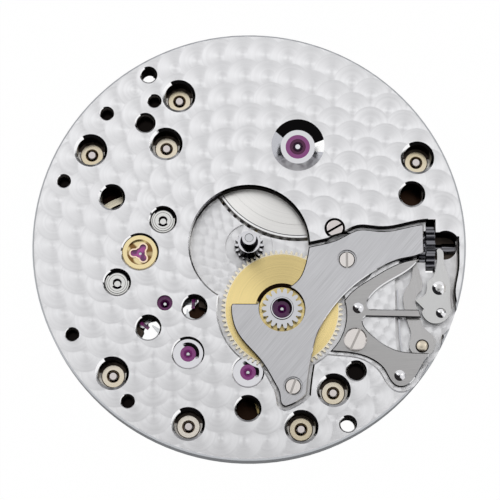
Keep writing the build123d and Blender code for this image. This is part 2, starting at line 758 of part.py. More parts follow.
def bridge_body(face, hollows):
    """A back bridge: its outline to the plate's underside, hollowed over the wheels down to its web."""
    blank = Pos(0, 0, back) * extrude(face, bridge_thickness, dir=(0, 0, 1))
    blank &= disc(bridge_radius, back, underside)
    for hollow in hollows:
        blank -= hollow
    return blank


def barrel_bridge_face():
    face = make_face(Polyline(*outline(barrel_bridge_shares), close=True))
    face += Pos(*barrel_axis) * Circle(ratchet_pitch + 2 * hub_radius)
    face += Pos(*crown_axis) * Circle(crown_pitch + bridge_margin)
    face -= Pos(*balance_axis) * Circle(balance_radius + bridge_margin)
    return face


def barrel_bridge():
    high = underside + cut_overrun
    rim_radius = barrel_pitch + 2 * pocket_gap
    wheel_radius = centre_wheel_pitch + 2 * pocket_gap
    half = winding_pitch + winding_module + pocket_gap
    sliding_half = sliding_pinion_radius + turning_clearance
    hollows = [
        disc(rim_radius, barrel_bridge_floor, high, barrel_axis),
        disc(wheel_radius, centre_wheel_low - turning_clearance, high),
        disc(ratchet_pitch + winding_module + pocket_gap, back - cut_overrun, ratchet_floor, barrel_axis),
        disc(crown_pitch + winding_module + pocket_gap, back - cut_overrun, ratchet_floor, crown_axis),
        bar((winding_start - fit_gap, 0), (winding_end + fit_gap, 0), half, back - cut_overrun, high),
        bar((sliding_start - winding_pinion_length, 0), (winding_start, 0), sliding_half,
            -stem_depth - sliding_half, high),
        disc(arbor_neck_radius + pivot_clearance, back - cut_overrun, high, barrel_axis),
        disc(dial_foot_radius + bridge_gap, back - cut_overrun, high, place(dial_foot_shares[0])),
    ]
    for share in (bridge_screw_shares[0], bridge_screw_shares[1], bridge_screw_shares[3]):
        hollows += screw_hollows(share)
    body = bridge_body(barrel_bridge_face(), hollows)
    body -= disc(click_pocket_radius, back - cut_overrun, ratchet_floor, click_pivot)
    nose_side = polar(ratchet_pitch, click_nose_angle, barrel_axis)
    for end in (click_spring_foot, nose_side):
        body -= bar(click_pivot, end, small_head_radius, back - cut_overrun, ratchet_floor)
    body -= disc(small_head_radius, back - cut_overrun, ratchet_floor, click_spring_foot)
    body += disc(crown_hub_radius, ratchet_low, ratchet_floor + fit_gap, crown_axis)
    body -= disc(small_shank_radius, back - cut_overrun, -stem_depth - sliding_half, crown_axis)
    body += disc(click_post_radius, ratchet_low, ratchet_floor + fit_gap, click_pivot)
    return first_of(body)


def screw_hollows(share):
    at = place(share)
    return [
        disc(screw_head_radius + fit_gap, back - cut_overrun, back + screw_head_height, at),
        disc(screw_shank_radius + fit_gap, back - cut_overrun, underside + cut_overrun, at),
    ]


def train_bridge():
    high = underside + cut_overrun
    face = make_face(Polyline(*outline(train_bridge_shares), close=True))
    face -= offset(barrel_bridge_face(), bridge_gap)
    face -= Pos(*balance_axis) * Circle(balance_radius + bridge_margin)
    hollows = [
        disc(centre_wheel_pitch + 2 * pocket_gap, train_web, high),
        disc(fourth_wheel_pitch + 2 * pocket_gap, train_web, high, fourth_axis),
        disc(hub_radius + pocket_gap, train_web, high, minute_axis),
        disc(hub_radius + pocket_gap, train_web, high, escape_axis),
        disc(centre_bore_radius, back - cut_overrun, high),
        disc(dial_foot_radius + bridge_gap, back - cut_overrun, high, place(dial_foot_shares[1])),
    ]
    for axis in (minute_axis, fourth_axis, escape_axis):
        hollows.append(disc(jewel_radius, back - cut_overrun, high, axis))
    for share in bridge_screw_shares[5:]:
        hollows += screw_hollows(share)
    return first_of(bridge_body(face, hollows))


def balance_bridge():
    face = make_face(Polyline(*outline(balance_bridge_shares), close=True))
    face = fillet(face.vertices(), bridge_margin)
    face += Pos(*balance_axis) * Circle(shock_radius + bridge_gap)
    hollows = [
        disc(balance_radius + bridge_margin, train_web, underside + cut_overrun, balance_axis),
        disc(centre_wheel_pitch + 2 * pocket_gap, train_web, underside + cut_overrun),
        disc(shock_radius, back - cut_overrun, underside, balance_axis),
    ]
    for share in (bridge_screw_shares[2], bridge_screw_shares[4]):
        hollows += screw_hollows(share)
    return first_of(bridge_body(face, hollows))


def pallet_bridge():
    ends = pallet_bridge_feet()
    waist = pallet_foot_radius * pallet_bridge_waist_share
    body = bar(ends[0], ends[1], waist, pallet_bridge_low, pallet_bridge_high)
    for end in ends:
        body += disc(pallet_foot_radius, pallet_bridge_low, pallet_bridge_high, end)
    body += disc(jewel_radius * pallet_boss_share, pallet_bridge_low, pallet_bridge_high, pallet_axis)
    body -= disc(jewel_radius, pallet_bridge_low - cut_overrun, cut_overrun, pallet_axis)
    for end in ends:
        body -= disc(small_shank_radius, pallet_bridge_low - cut_overrun, cut_overrun, end)
    return body


def group(shapes):
    return Compound([solid for shape in shapes for solid in shape.solids()])


def arbor(centre, radius, low, high, pivot_low, pivot_high):
    """A straight arbor with a thin pivot at each end."""
    shaft = disc(radius, low, high, centre)
    shaft += disc(pivot_radius, pivot_low, low, centre)
    return shaft + disc(pivot_radius, high, pivot_high, centre)


def minute_train_bridge():
    low = -minute_bridge_depth - minute_bridge_thickness
    high = -minute_bridge_depth
    plate = smooth_slab(minute_bridge_shares, minute_bridge_corners, low, high)
    plate = chamfer(plate.edges().group_by(Axis.Z)[-1], plate_chamfer)
    plate -= disc(hub_hole_radius, low - cut_overrun, cut_overrun, minute_axis)
    for share in minute_screw_shares:
        plate -= disc(minute_sunk_radius, high - minute_sunk_depth, cut_overrun, place(share))
        plate -= disc(small_shank_radius, low - cut_overrun, cut_overrun, place(share))
    return plate


def setting_lever_jumper():
    high = -jumper_depth
    plate = smooth_slab(jumper_shares, jumper_corners, high - jumper_thickness, high)
    plate = chamfer(plate.edges().group_by(Axis.Z)[-1], plate_chamfer)
    for share in [jumper_screw_share] + dome_pin_shares:
        plate -= disc(small_shank_radius, high - 2 * jumper_thickness, cut_overrun, place(share))
    return plate


def minute_bridge_screws():
    top = -minute_bridge_depth
    seat = top - minute_sunk_depth
    return group([
        screw(minute_head_radius, top, seat, small_shank_radius, -screw_length, place(share), angle)
        for share, angle in zip(minute_screw_shares, minute_slot_angles)
    ])


def jumper_screw():
    seat = -jumper_depth
    at = place(jumper_screw_share)
    return screw(jumper_head_radius, seat + jumper_head_height, seat, small_shank_radius, -screw_length,
                 at, jumper_slot_angle)


def keyless_pins():
    """Two domed pins in the jumper, and the yoke's turned post."""
    pins = []
    for share in dome_pin_shares:
        head = dome(dome_pin_radius, -jumper_depth, dome_pin_height, place(share))
        pins.append(head + disc(small_shank_radius, -screw_length, -jumper_depth, place(share)))
    post = disc(yoke_post_radius, -keyless_recess_depth, -yoke_depth + fit_gap, yoke_pivot)
    post += dome(yoke_post_radius, -yoke_depth + fit_gap, dome_pin_height, yoke_pivot)
    pins.append(post + disc(small_shank_radius, -screw_length, -keyless_recess_depth, yoke_pivot))
    return group(pins)


def yoke_spring():
    high = -yoke_depth
    low = high - yoke_thickness
    foot = place(yoke_spring_foot_share)
    bend = place(yoke_spring_bend_share)
    tip = place(yoke_spring_tip_share)
    blade = bar(foot, bend, spring_blade / 2, low, high)
    blade += disc(spring_blade / 2, low, high, bend) + bar(bend, tip, spring_blade / 2, low, high)
    return blade + disc(yoke_spring_foot_radius, -keyless_recess_depth, high, foot)


def setting_lever():
    high = -lever_depth
    low = high - lever_thickness
    lever = smooth_slab(lever_shares, lever_corners, low, high)
    lever += dome(lever_dome_radius, high, dome_pin_height, lever_pivot)
    lever += disc(small_shank_radius, -screw_length + fit_gap, low, lever_pivot)
    lever += dome(lever_pin_dome_radius, high, dome_pin_height, place(lever_pin_share))
    return lever + disc(lever_pin_radius, -stem_depth - lever_pin_radius, low, place(lever_tip_share))


def yoke():
    high = -yoke_depth
    body = smooth_slab(yoke_shares, yoke_corners, high - yoke_thickness, high)
    return body - disc(yoke_post_radius + fit_gap, high - 2 * yoke_thickness, 0, yoke_pivot)


def stem_square_bar(side, start, end):
    lying = Pos(start, 0, -stem_depth) * Rot(0, 90, 0)
    return lying * Box(side, side, end - start, align=(Align.CENTER, Align.CENTER, Align.MIN))


def winding_stem():
    stem = along_stem(stem_radius, sliding_end, plate_radius - turning_clearance)
    half = stem_groove_width / 2
    groove = along_stem(stem_radius + fit_gap, stem_groove_place - half, stem_groove_place + half)
    stem -= groove - along_stem(stem_groove_radius, stem_groove_place - half, stem_groove_place + half)
    square_start = sliding_start - winding_pinion_length
    stem += stem_square_bar(stem_square, square_start, sliding_end)
    return stem + along_stem(stem_groove_radius, stem_tip, square_start)


def sliding_pinion():
    module = 2 * sliding_pinion_radius / (sliding_pinion_teeth + 2)
    pinion = tipped_gear(sliding_pinion_teeth, module, sliding_start, sliding_end, 0)
    middle = place(yoke_shares[0])[0] + (place(yoke_shares[1])[0] - place(yoke_shares[0])[0]) / 2
    half = sliding_groove_width / 2
    groove = along_stem(sliding_pinion_radius + fit_gap, middle - half, middle + half)
    pinion -= groove - along_stem(sliding_groove_radius, middle - half, middle + half)
    side = stem_square + 2 * fit_gap
    return pinion - stem_square_bar(side, sliding_start - cut_overrun, sliding_end + cut_overrun)


def winding_pinion():
    offset_share = (crown_phase * crown_teeth / 360) % 1
    phase = (offset_share + 0.5) * 360 / winding_pinion_teeth
    pinion = tipped_gear(winding_pinion_teeth, winding_module, winding_start, winding_end, phase)
    bore = stem_radius + fit_gap
    return pinion - along_stem(bore, winding_start - cut_overrun, winding_end + cut_overrun)


def escape_wheel():
    high = escape_low + escape_wheel_thickness
    step = 360 / escape_teeth
    first = direction(escape_axis, pallet_axis) - pallet_lock_angle + step / 4
    points = []
    for tooth in range(escape_teeth):
        middle = first + tooth * step
        for radius_share, angle_share in escape_tooth_shares:
            points.append(polar(escape_radius * radius_share, middle + step * angle_share, escape_axis))
    wheel = slab(points, escape_low, high)
    inner = escape_radius * escape_rim_share
    wheel -= spoke_windows(
        hub_radius, inner, escape_low, high, escape_axis, escape_spokes, spoke_width, first)
    return wheel - disc(arbor_radius, escape_low - cut_overrun, high + cut_overrun, escape_axis)


def stone_bar(side, grow):
    """One pallet stone's block, or the slot for it; side is -1 or 1."""
    angle = direction(escape_axis, pallet_axis) + side * pallet_lock_angle
    start = polar(escape_radius + turning_clearance, angle, escape_axis)
    end = polar(escape_radius + turning_clearance + pallet_stone_length, angle, escape_axis)
    low = escape_low - grow
    return bar(start, end, pallet_stone_width / 2, low, escape_low + escape_wheel_thickness + grow)


def pallet_fork():
    high = escape_low + escape_wheel_thickness
    toward_balance = direction(pallet_axis, balance_axis)
    reach = distance(pallet_axis, balance_axis) - roller_pin_reach
    notch_start = polar(reach - 2 * roller_pin_radius, toward_balance, pallet_axis)
    horn_end = polar(reach + roller_pin_radius, toward_balance, pallet_axis)
    fork = bar(pallet_axis, notch_start, fork_width / 2, escape_low, high)
    fork += bar(notch_start, horn_end, fork_notch_width, escape_low, high)
    notch_end = polar(reach + fork_notch_overrun, toward_balance, pallet_axis)
    fork -= bar(notch_start, notch_end, fork_notch_width / 2, escape_low - cut_overrun, high + cut_overrun)
    fork += disc(fork_hub_radius, escape_low, high, pallet_axis)
    for side in (-1, 1):
        angle = direction(escape_axis, pallet_axis) + side * pallet_lock_angle
        middle = escape_radius + turning_clearance + pallet_stone_hold_share * pallet_stone_length
        end = polar(middle, angle, escape_axis)
        fork += bar(pallet_axis, end, fork_width / 2, escape_low, high)
        fork += disc(fork_arm_end, escape_low, high, end)
    for side in (-1, 1):
        fork -= stone_bar(side, cut_overrun)
    bridge_jewel_low = pallet_bridge_low + fit_gap
    staff = arbor(pallet_axis, pallet_staff_radius, pallet_bridge_high + fit_gap,
                  -escape_ceiling_depth - fit_gap, bridge_jewel_low, -jewel_top_depth - fit_gap)
    return fork + staff


def pallet_stones():
    return group([stone_bar(side, 0) for side in (-1, 1)])


def balance_wheel():
    high = balance_low + balance_thickness
    wheel = disc(balance_radius, balance_low, high, balance_axis)
    inner = balance_radius - balance_rim_width
    wheel -= spoke_windows(
        hub_radius, inner, balance_low, high, balance_axis, balance_arms, 2 * spoke_width, balance_angle)
    return wheel - disc(staff_radius, balance_low - cut_overrun, high + cut_overrun, balance_axis)


def timing_screws():
    screws = []
    middle = balance_low + balance_thickness / 2
    for index in range(timing_screws_count):
        angle = balance_angle + (index + 0.5) * 360 / timing_screws_count
        start = polar(balance_radius, angle, balance_axis)
        lying = Pos(start[0], start[1], middle) * Rot(0, 0, angle) * Rot(0, 90, 0)
        centred = (Align.CENTER, Align.CENTER, Align.MIN)
        screws.append(lying * Cylinder(timing_screw_radius, timing_screw_length, align=centred))
    return group(screws)


def balance_staff():
    high = -escape_ceiling_depth - fit_gap
    low = train_web + turning_clearance
    shaft = arbor(balance_axis, staff_radius, low, high, back + pivot_room,
                  -shock_top_depth - shock_sink_depth - jewel_thickness / 2)
    collet = disc(hairspring_start - hairspring_blade / 2, hairspring_low,
                  hairspring_low + hairspring_height, balance_axis)
    return shaft + collet


def roller():
    high = roller_low + wheel_thickness
    table = ring(roller_radius, staff_radius, roller_low, high, balance_axis)
    toward = direction(balance_axis, pallet_axis)
    pin_place = polar(roller_pin_reach, toward, balance_axis)
    return table + disc(roller_pin_radius, high, escape_low + escape_wheel_thickness, pin_place)


def hairspring():
    """A flat spiral blade of half circles about two centres, half a pitch apart."""
    arcs = []
    start = (hairspring_start, 0)
    for half in range(2 * hairspring_turns):
        radius = hairspring_start + half * hairspring_pitch / 2
        shift = (half % 2) * hairspring_pitch / 2
        side = 1 - 2 * (half % 2)
        end = (shift - side * radius, 0)
        arcs.append(ThreePointArc(start, (shift, side * radius), end))
        start = end
    across = Plane(origin=(hairspring_start, 0, 0), x_dir=(1, 0, 0), z_dir=(0, 1, 0))
    section = across * Rectangle(hairspring_blade, hairspring_height)
    blade = sweep(section, path=Wire(arcs))
    middle = hairspring_low + hairspring_height / 2
    return Pos(balance_axis[0], balance_axis[1], middle) * Rot(0, 0, hairspring_angle) * blade


def hairspring_stud():
    reach = hairspring_start + hairspring_turns * hairspring_pitch + hairspring_blade / 2
    at = polar(reach + stud_radius, hairspring_angle, balance_axis)
    return disc(stud_radius, train_web, hairspring_low + hairspring_height, at)


def toothed_arbor(centre, teeth, pitch, phase, pinion_low, pinion_high, low, high, pivot_low, pivot_high):
    shaft = arbor(centre, arbor_radius, low, high, pivot_low, pivot_high)
    return shaft + toothed_disc(teeth, pitch, pinion_low, pinion_high, centre, phase)


def barrel_drum():
    floor_top = barrel_bottom + barrel_rim_thickness
    drum = toothed_disc(barrel_teeth, barrel_pitch, barrel_bottom, floor_top, barrel_axis, 0)
    drum += ring(drum_radius, drum_radius - barrel_wall, floor_top, barrel_top, barrel_axis)
    return drum - disc(arbor_neck_radius + pivot_clearance, back, 0, barrel_axis)


def barrel_cover():
    radius = drum_radius - barrel_wall
    low = barrel_top - barrel_cover_thickness
    cover = disc(radius, low, barrel_top, barrel_axis)
    groove_outer = radius - barrel_cover_groove
    groove_inner = groove_outer - barrel_cover_groove
    cover -= ring(groove_outer, groove_inner, barrel_top - fit_gap, cut_overrun, barrel_axis)
    return cover - disc(arbor_pivot_radius + pivot_clearance, low - cut_overrun, 0, barrel_axis)


def mainspring():
    outer = drum_radius - barrel_wall
    low = barrel_bottom + barrel_rim_thickness + turning_clearance
    high = barrel_top - barrel_cover_thickness - turning_clearance
    return ring(outer, outer * mainspring_inner_share, low, high, barrel_axis)


def square_block(side, low, high, at):
    return Pos(at[0], at[1], low) * Box(side, side, high - low, align=(Align.CENTER, Align.CENTER, Align.MIN))


def barrel_arbor():
    floor_top = barrel_bottom + barrel_rim_thickness
    core_low = floor_top + turning_clearance
    core_high = barrel_top - barrel_cover_thickness - turning_clearance
    body = disc(arbor_core_radius, core_low, core_high, barrel_axis)
    body += disc(arbor_neck_radius, ratchet_floor, core_low, barrel_axis)
    body += disc(arbor_pivot_radius, core_high, -barrel_sink_depth + fit_gap, barrel_axis)
    body += square_block(ratchet_square, ratchet_seat, ratchet_floor, barrel_axis)
    return body - disc(small_shank_radius, ratchet_seat - cut_overrun, barrel_bottom, barrel_axis)


def ratchet_wheel():
    wheel = toothed_disc(ratchet_teeth, ratchet_pitch, ratchet_low, ratchet_high, barrel_axis, ratchet_phase)
    wheel -= disc(ratchet_screw_radius + fit_gap, ratchet_low - cut_overrun, ratchet_seat, barrel_axis)
    square_low = ratchet_low - cut_overrun
    return wheel - square_block(ratchet_square, square_low, ratchet_high + cut_overrun, barrel_axis)


def back_screw(head_radius, head_low, head_high, shank_high, at):
    head = disc(head_radius, head_low, head_high, at)
    ends = [polar(head_radius + cut_overrun, turn, at) for turn in (0, 180)]
    slot_top = head_low + (head_high - head_low) / 2
    head -= bar(ends[0], ends[1], screw_slot_width, head_low - cut_overrun, slot_top)
    return head + disc(small_shank_radius, head_high, shank_high, at)


def crown_wheel():
    wheel = toothed_disc(crown_teeth, crown_pitch, ratchet_low, ratchet_high, crown_axis, crown_phase)
    return wheel - disc(crown_hub_radius + fit_gap, back, 0, crown_axis)


def click():
    body = disc(click_radius, ratchet_low, ratchet_high, click_pivot)
    nose = polar(ratchet_pitch + winding_module + fit_gap, click_nose_angle, barrel_axis)
    line = direction(click_pivot, nose)
    corners = [
        polar(click_radius, line + click_flank_angle, click_pivot),
        polar(click_radius, line - click_flank_angle, click_pivot),
        nose,
    ]
    body += slab(corners, ratchet_low, ratchet_high)
    return body - disc(click_post_radius + fit_gap, back, 0, click_pivot)


def click_spring():
    tail = polar(click_radius + spring_blade, click_angle, click_pivot)
    blade = bar(click_spring_foot, tail, spring_blade / 2, ratchet_low, ratchet_high)
    return blade + disc(click_post_radius, ratchet_low, ratchet_floor, click_spring_foot)


def lobed_slab(grow, low, high):
    """The three-lobed shape of the shock spring and of the window that shows the ruby."""
    shape = disc(shock_heart_radius + grow, low, high, balance_axis)
    for index in range(shock_lobes):
        lobe = polar(shock_lobe_reach, shock_first_lobe + index * 360 / shock_lobes, balance_axis)
        shape += bar(balance_axis, lobe, shock_lobe_radius + grow, low, high)
        shape += disc(shock_lobe_radius + grow, low, high, lobe)
    return shape


def shock_spring():
    """The flat spring that frames the ruby and presses its setting down."""
    low = shock_floor
    high = low + shock_spring_wire
    return lobed_slab(shock_spring_wire, low, high) - lobed_slab(0, low - cut_overrun, high + cut_overrun)


def lower_shock_block():
    low = -escape_ceiling_depth
    block = disc(shock_radius, low, -shock_top_depth, balance_axis)
    block = chamfer(block.edges().sort_by(Axis.Z)[-1], screw_end_chamfer)
    block -= disc(shock_ring_radius, shock_floor, cut_overrun, balance_axis)
    block -= lobed_slab(0, low - cut_overrun, cut_overrun)
    return block - disc(shock_jewel_radius, low - cut_overrun, shock_jewel_high, balance_axis)


def upper_shock_block():
    return ring(shock_radius, shock_jewel_radius, back, train_web, balance_axis)


def jewel_setting(axis):
    low = -escape_ceiling_depth + fit_gap
    setting = disc(jewel_setting_radius, low, -setting_top_depth, axis)
    setting -= disc(jewel_radius, low - cut_overrun, cut_overrun, axis)
    setting -= disc(minute_sink_radius, motion_floor, cut_overrun, minute_axis)
    return setting - cone(jewel_radius, jewel_sink_radius, -jewel_top_depth, -setting_top_depth, axis)


nodes["main_plate"] = main_plate()
nodes["barrel_bridge"] = barrel_bridge()
nodes["train_bridge"] = train_bridge()
nodes["balance_bridge"] = balance_bridge()
nodes["pallet_bridge"] = pallet_bridge()
nodes["minute_train_bridge"] = minute_train_bridge()
nodes["setting_lever_jumper"] = setting_lever_jumper()
nodes["minute_bridge_screws"] = minute_bridge_screws()
nodes["jumper_screw"] = jumper_screw()
nodes["keyless_pins"] = keyless_pins()
nodes["yoke_spring"] = yoke_spring()
nodes["setting_lever"] = setting_lever()
nodes["yoke"] = yoke()
nodes["winding_stem"] = winding_stem()
nodes["sliding_pinion"] = sliding_pinion()

# Bridge screws and their bushes
nodes["bridge_screws"] = group([
    under_screw(place(share), bridge_slot_start + bridge_slot_turn * index)
    for index, share in enumerate(bridge_screw_shares)
])
nodes["bridge_bushes"] = group([
    ring(bush_radius, bush_bore_radius, underside, bush_top, place(share))
    - cone(bush_bore_radius, bush_sink_radius, bush_top - bush_sink_depth, bush_top, place(share))
    for share in bridge_screw_shares
])
nodes["ring_posts"] = group([
    ring(ring_post_outer, ring_post_bore, -escape_ceiling_depth, -ring_post_depth, place(share))
    for share in ring_post_shares
] + [
    disc(ring_post_pin, -escape_ceiling_depth, -2 * ring_post_depth, place(share))
    for share in ring_post_shares
])
nodes["pallet_bridge_screws"] = group([
    back_screw(pallet_foot_radius * pallet_bridge_waist_share, pallet_bridge_low - pallet_head_height,
               pallet_bridge_low, pallet_bridge_high + small_head_height, end)
    for end in pallet_bridge_feet()
])

# Jewels and their settings
nodes["plate_jewels"] = group([
    jewel(jewel_radius, jewel_hole_radius, jewel_low, -jewel_top_depth, axis)
    for axis in (escape_axis, fourth_axis)
] + [
    jewel(jewel_radius, jewel_hole_radius, -escape_ceiling_depth, -jewel_top_depth / 2, pallet_axis),
    jewel(jewel_radius, jewel_hole_radius, jewel_low, -jewel_top_depth, minute_axis),
])
nodes["jewel_settings"] = group([jewel_setting(axis) for axis in (escape_axis, fourth_axis)])
nodes["third_wheel_chaton"] = ring(
    chaton_radius, jewel_radius, -third_ceiling_depth, -chaton_top_depth, minute_axis
) - cone(jewel_radius, chaton_sink_radius, -jewel_top_depth, -chaton_top_depth, minute_axis)
nodes["barrel_jewel"] = ring(
    barrel_jewel_radius, arbor_pivot_radius + pivot_clearance, -barrel_ceiling_depth, -barrel_sink_depth,
    barrel_axis)
nodes["barrel_jewel_ring"] = ring(
    barrel_ring_radius, barrel_jewel_radius, -barrel_ceiling_depth, -barrel_sink_depth, barrel_axis)
nodes["bridge_jewels"] = group([
    ring(jewel_radius, jewel_hole_radius, back + fit_gap, bridge_jewel_high, axis)
    for axis in (minute_axis, fourth_axis, escape_axis)
] + [ring(jewel_radius, jewel_hole_radius, pallet_bridge_low, pallet_bridge_high, pallet_axis)])
nodes["lower_shock_block"] = lower_shock_block()
nodes["lower_shock_spring"] = shock_spring()
nodes["upper_shock_block"] = upper_shock_block()
nodes["shock_jewels"] = group([
    ring(shock_jewel_radius, jewel_hole_radius, shock_jewel_high - jewel_thickness, shock_jewel_high,
         balance_axis),
    ring(shock_jewel_radius, jewel_hole_radius, back + fit_gap, bridge_jewel_high, balance_axis),
])

# Barrel, and the winding wheels on the back
nodes["barrel_drum"] = barrel_drum()
nodes["barrel_cover"] = barrel_cover()
nodes["mainspring"] = mainspring()
nodes["barrel_arbor"] = barrel_arbor()
nodes["ratchet_wheel"] = ratchet_wheel()
nodes["ratchet_screw"] = back_screw(
    ratchet_screw_radius, back + fit_gap, ratchet_seat, barrel_bottom, barrel_axis)
nodes["crown_wheel"] = crown_wheel()
crown_screw_top = -stem_depth - sliding_pinion_radius - 2 * turning_clearance
nodes["crown_wheel_screw"] = back_screw(
    crown_screw_radius, back, ratchet_low, crown_screw_top, crown_axis)
nodes["click"] = click()
nodes["click_spring"] = click_spring()
nodes["winding_pinion"] = winding_pinion()

# Going train
centre_pinion_phase = meshing_phase(barrel_axis, barrel_teeth, 0, centre_axis, centre_pinion_teeth)
nodes["centre_wheel"] = train_wheel(
    centre_wheel_teeth, centre_wheel_pitch, centre_wheel_low, centre_axis, 0, centre_arbor_radius)
nodes["centre_arbor"] = (
    disc(centre_arbor_radius, back + wheel_gap, motion_floor + fit_gap)
    + disc(centre_post_radius, motion_floor + fit_gap, cannon_height - fit_gap)
    + toothed_disc(centre_pinion_teeth, centre_pinion_pitch, centre_wheel_high,
                   -third_ceiling_depth - wheel_thickness - leaf_room, centre_axis,
                   centre_pinion_phase)
)
third_pinion_phase = meshing_phase(centre_axis, centre_wheel_teeth, 0, minute_axis, third_pinion_teeth)
nodes["third_wheel"] = train_wheel(
    third_wheel_teeth, third_wheel_pitch, third_low, minute_axis, 0, arbor_radius)
nodes["third_pinion"] = toothed_arbor(
    minute_axis, third_pinion_teeth, third_pinion_pitch, third_pinion_phase, shoulder,
    centre_wheel_high + turning_clearance, shoulder, jewel_low - fit_gap, pivot_end, plate_jewel_reach)
fourth_pinion_phase = meshing_phase(minute_axis, third_wheel_teeth, 0, fourth_axis, fourth_pinion_teeth)
nodes["fourth_wheel"] = train_wheel(
    fourth_wheel_teeth, fourth_wheel_pitch, fourth_low, fourth_axis, 0, arbor_radius)
nodes["fourth_pinion"] = toothed_arbor(
    fourth_axis, fourth_pinion_teeth, fourth_pinion_pitch, fourth_pinion_phase, third_low - turning_clearance,
    -third_ceiling_depth - fit_gap, shoulder, jewel_low - fit_gap, pivot_end, plate_jewel_reach)
escape_pinion_phase = meshing_phase(fourth_axis, fourth_wheel_teeth, 0, escape_axis, escape_pinion_teeth)
nodes["escape_wheel"] = escape_wheel()
nodes["escape_pinion"] = toothed_arbor(
    escape_axis, escape_pinion_teeth, escape_pinion_pitch, escape_pinion_phase,
    fourth_low - turning_clearance, -fourth_ceiling_depth, shoulder, jewel_low - fit_gap, pivot_end,
    plate_jewel_reach)

# Escapement and balance
nodes["pallet_fork"] = pallet_fork()
nodes["pallet_stones"] = pallet_stones()
nodes["balance_wheel"] = balance_wheel()
nodes["timing_screws"] = timing_screws()
nodes["balance_staff"] = balance_staff()
nodes["roller"] = roller()
nodes["hairspring"] = hairspring()
nodes["hairspring_stud"] = hairspring_stud()

# Motion work
minute_phase = meshing_phase(centre_axis, cannon_teeth, 0, minute_axis, minute_wheel_teeth)
setting_phase = meshing_phase(
    minute_axis, minute_wheel_teeth, minute_phase, setting_axis, setting_wheel_teeth)
cannon_bore = disc(cannon_bore_radius, motion_floor, cannon_height + cut_overrun)
nodes["cannon_pinion"] = (
    toothed_disc(cannon_teeth, cannon_pitch, minute_low, cannon_leaf_top, centre_axis, 0)
    + disc(cannon_body_radius, cannon_leaf_top, cannon_shoulder)
    + disc(cannon_pipe_radius, cannon_shoulder, cannon_height)
    - cannon_bore
)
chaton_bore = disc(chaton_radius + turning_clearance, underside, cut_overrun, minute_axis)
groove_floor = minute_high - minute_groove_depth
groove_outer = minute_hub_radius + minute_groove_width
minute_groove = cone(minute_hub_radius, groove_outer, groove_floor, minute_high, minute_axis)
minute_groove -= disc(minute_hub_radius, motion_floor, 0, minute_axis)
nodes["minute_wheel"] = toothed_disc(
    minute_wheel_teeth, minute_wheel_pitch, minute_low, minute_high, minute_axis, minute_phase
) - minute_groove - chaton_bore
nodes["minute_pinion"] = toothed_disc(
    minute_pinion_teeth, minute_pinion_pitch, minute_high, -minute_bridge_depth, minute_axis, 0, full_leaves
) - chaton_bore
nodes["setting_wheel"] = toothed_disc(
    setting_wheel_teeth, setting_pitch, minute_low, minute_high, setting_axis, setting_phase
) - disc(setting_post_radius + fit_gap, motion_floor, 0, setting_axis)

# The finished pieces are raised, so that the origin lies in the plane that the movement rests on
for name, shape in nodes.items():
    export_step(Pos(0, 0, -back) * shape, "parts/" + name + ".step")
gap = hairspring_pitch - hairspring_blade
print("hairspring turns", hairspring_turns, "least gap to itself", round(gap, 3))
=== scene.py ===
import math

import bmesh
import bpy
from mathutils import Matrix, Vector


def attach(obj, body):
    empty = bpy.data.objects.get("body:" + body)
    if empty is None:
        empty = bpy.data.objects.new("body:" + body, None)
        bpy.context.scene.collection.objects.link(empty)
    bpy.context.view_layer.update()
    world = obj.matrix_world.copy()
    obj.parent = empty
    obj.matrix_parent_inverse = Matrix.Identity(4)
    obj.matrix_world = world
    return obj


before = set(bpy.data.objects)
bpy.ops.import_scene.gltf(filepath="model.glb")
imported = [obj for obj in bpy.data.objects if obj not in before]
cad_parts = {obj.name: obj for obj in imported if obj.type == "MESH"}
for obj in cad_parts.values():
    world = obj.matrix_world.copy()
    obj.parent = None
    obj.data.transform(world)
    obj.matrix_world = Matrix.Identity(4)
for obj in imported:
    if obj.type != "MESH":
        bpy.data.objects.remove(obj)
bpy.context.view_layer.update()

# The table, the light and the camera. The movement lies dial side up on a white table, seen from
# steeply above 6 o'clock. A white room lights it evenly, two soft lamps give the turned and brushed
# faces their sheen, and a black card darkens what the polished tops mirror.
MM = 0.001
dial_height = 3.4 * MM
camera_elevation = math.radians(79)
camera_distance = 172.9 * MM
nearest_seen = 10 * MM
lens_length = 180
picture_centre = Vector((0.06, 0, 3.4)) * MM
picture_drop = 0.40 * MM
room_strength = 0.80
table_size = 2.0
table_drop = 0.05 * MM
table_glow = 0.992
card_size = 55 * MM
card_distance = 150 * MM
lamps = {  # place and size in metres, and power in watts
    "left lamp": ((-0.22, 0.20, 0.30), 0.20, 0.12),
    "right lamp": ((0.24, 0.10, 0.26), 0.14, 0.06),
}


def add(tree, kind, *values, inputs=None, **settings):
    """Adds one shader node with its settings, and puts numbers or nodes on its inputs, by order or name."""
    node = tree.nodes.new("ShaderNode" + kind)
    for name, value in settings.items():
        setattr(node, name, value)
    for key, value in [*enumerate(values), *(inputs or {}).items()]:
        if isinstance(value, bpy.types.Node):
            value = value.outputs[0]
        if isinstance(value, bpy.types.NodeSocket):
            tree.links.new(value, node.inputs[key])
        else:
            node.inputs[key].default_value = value
    return node


def grey(level):
    """A colour without a tint, of a linear level."""
    return (level, level, level, 1)


def finish_of(name, colour, metallic, roughness, **more):
    """A new material with a plain surface. More of its shader's sockets are named with underscores."""
    material = bpy.data.materials.new(name)
    material.use_nodes = True
    surface = material.node_tree.nodes["Principled BSDF"].inputs
    surface["Base Color"].default_value = colour
    surface["Metallic"].default_value = metallic
    surface["Roughness"].default_value = roughness
    for socket, value in more.items():
        surface[socket.replace("_", " ")].default_value = value
    return material


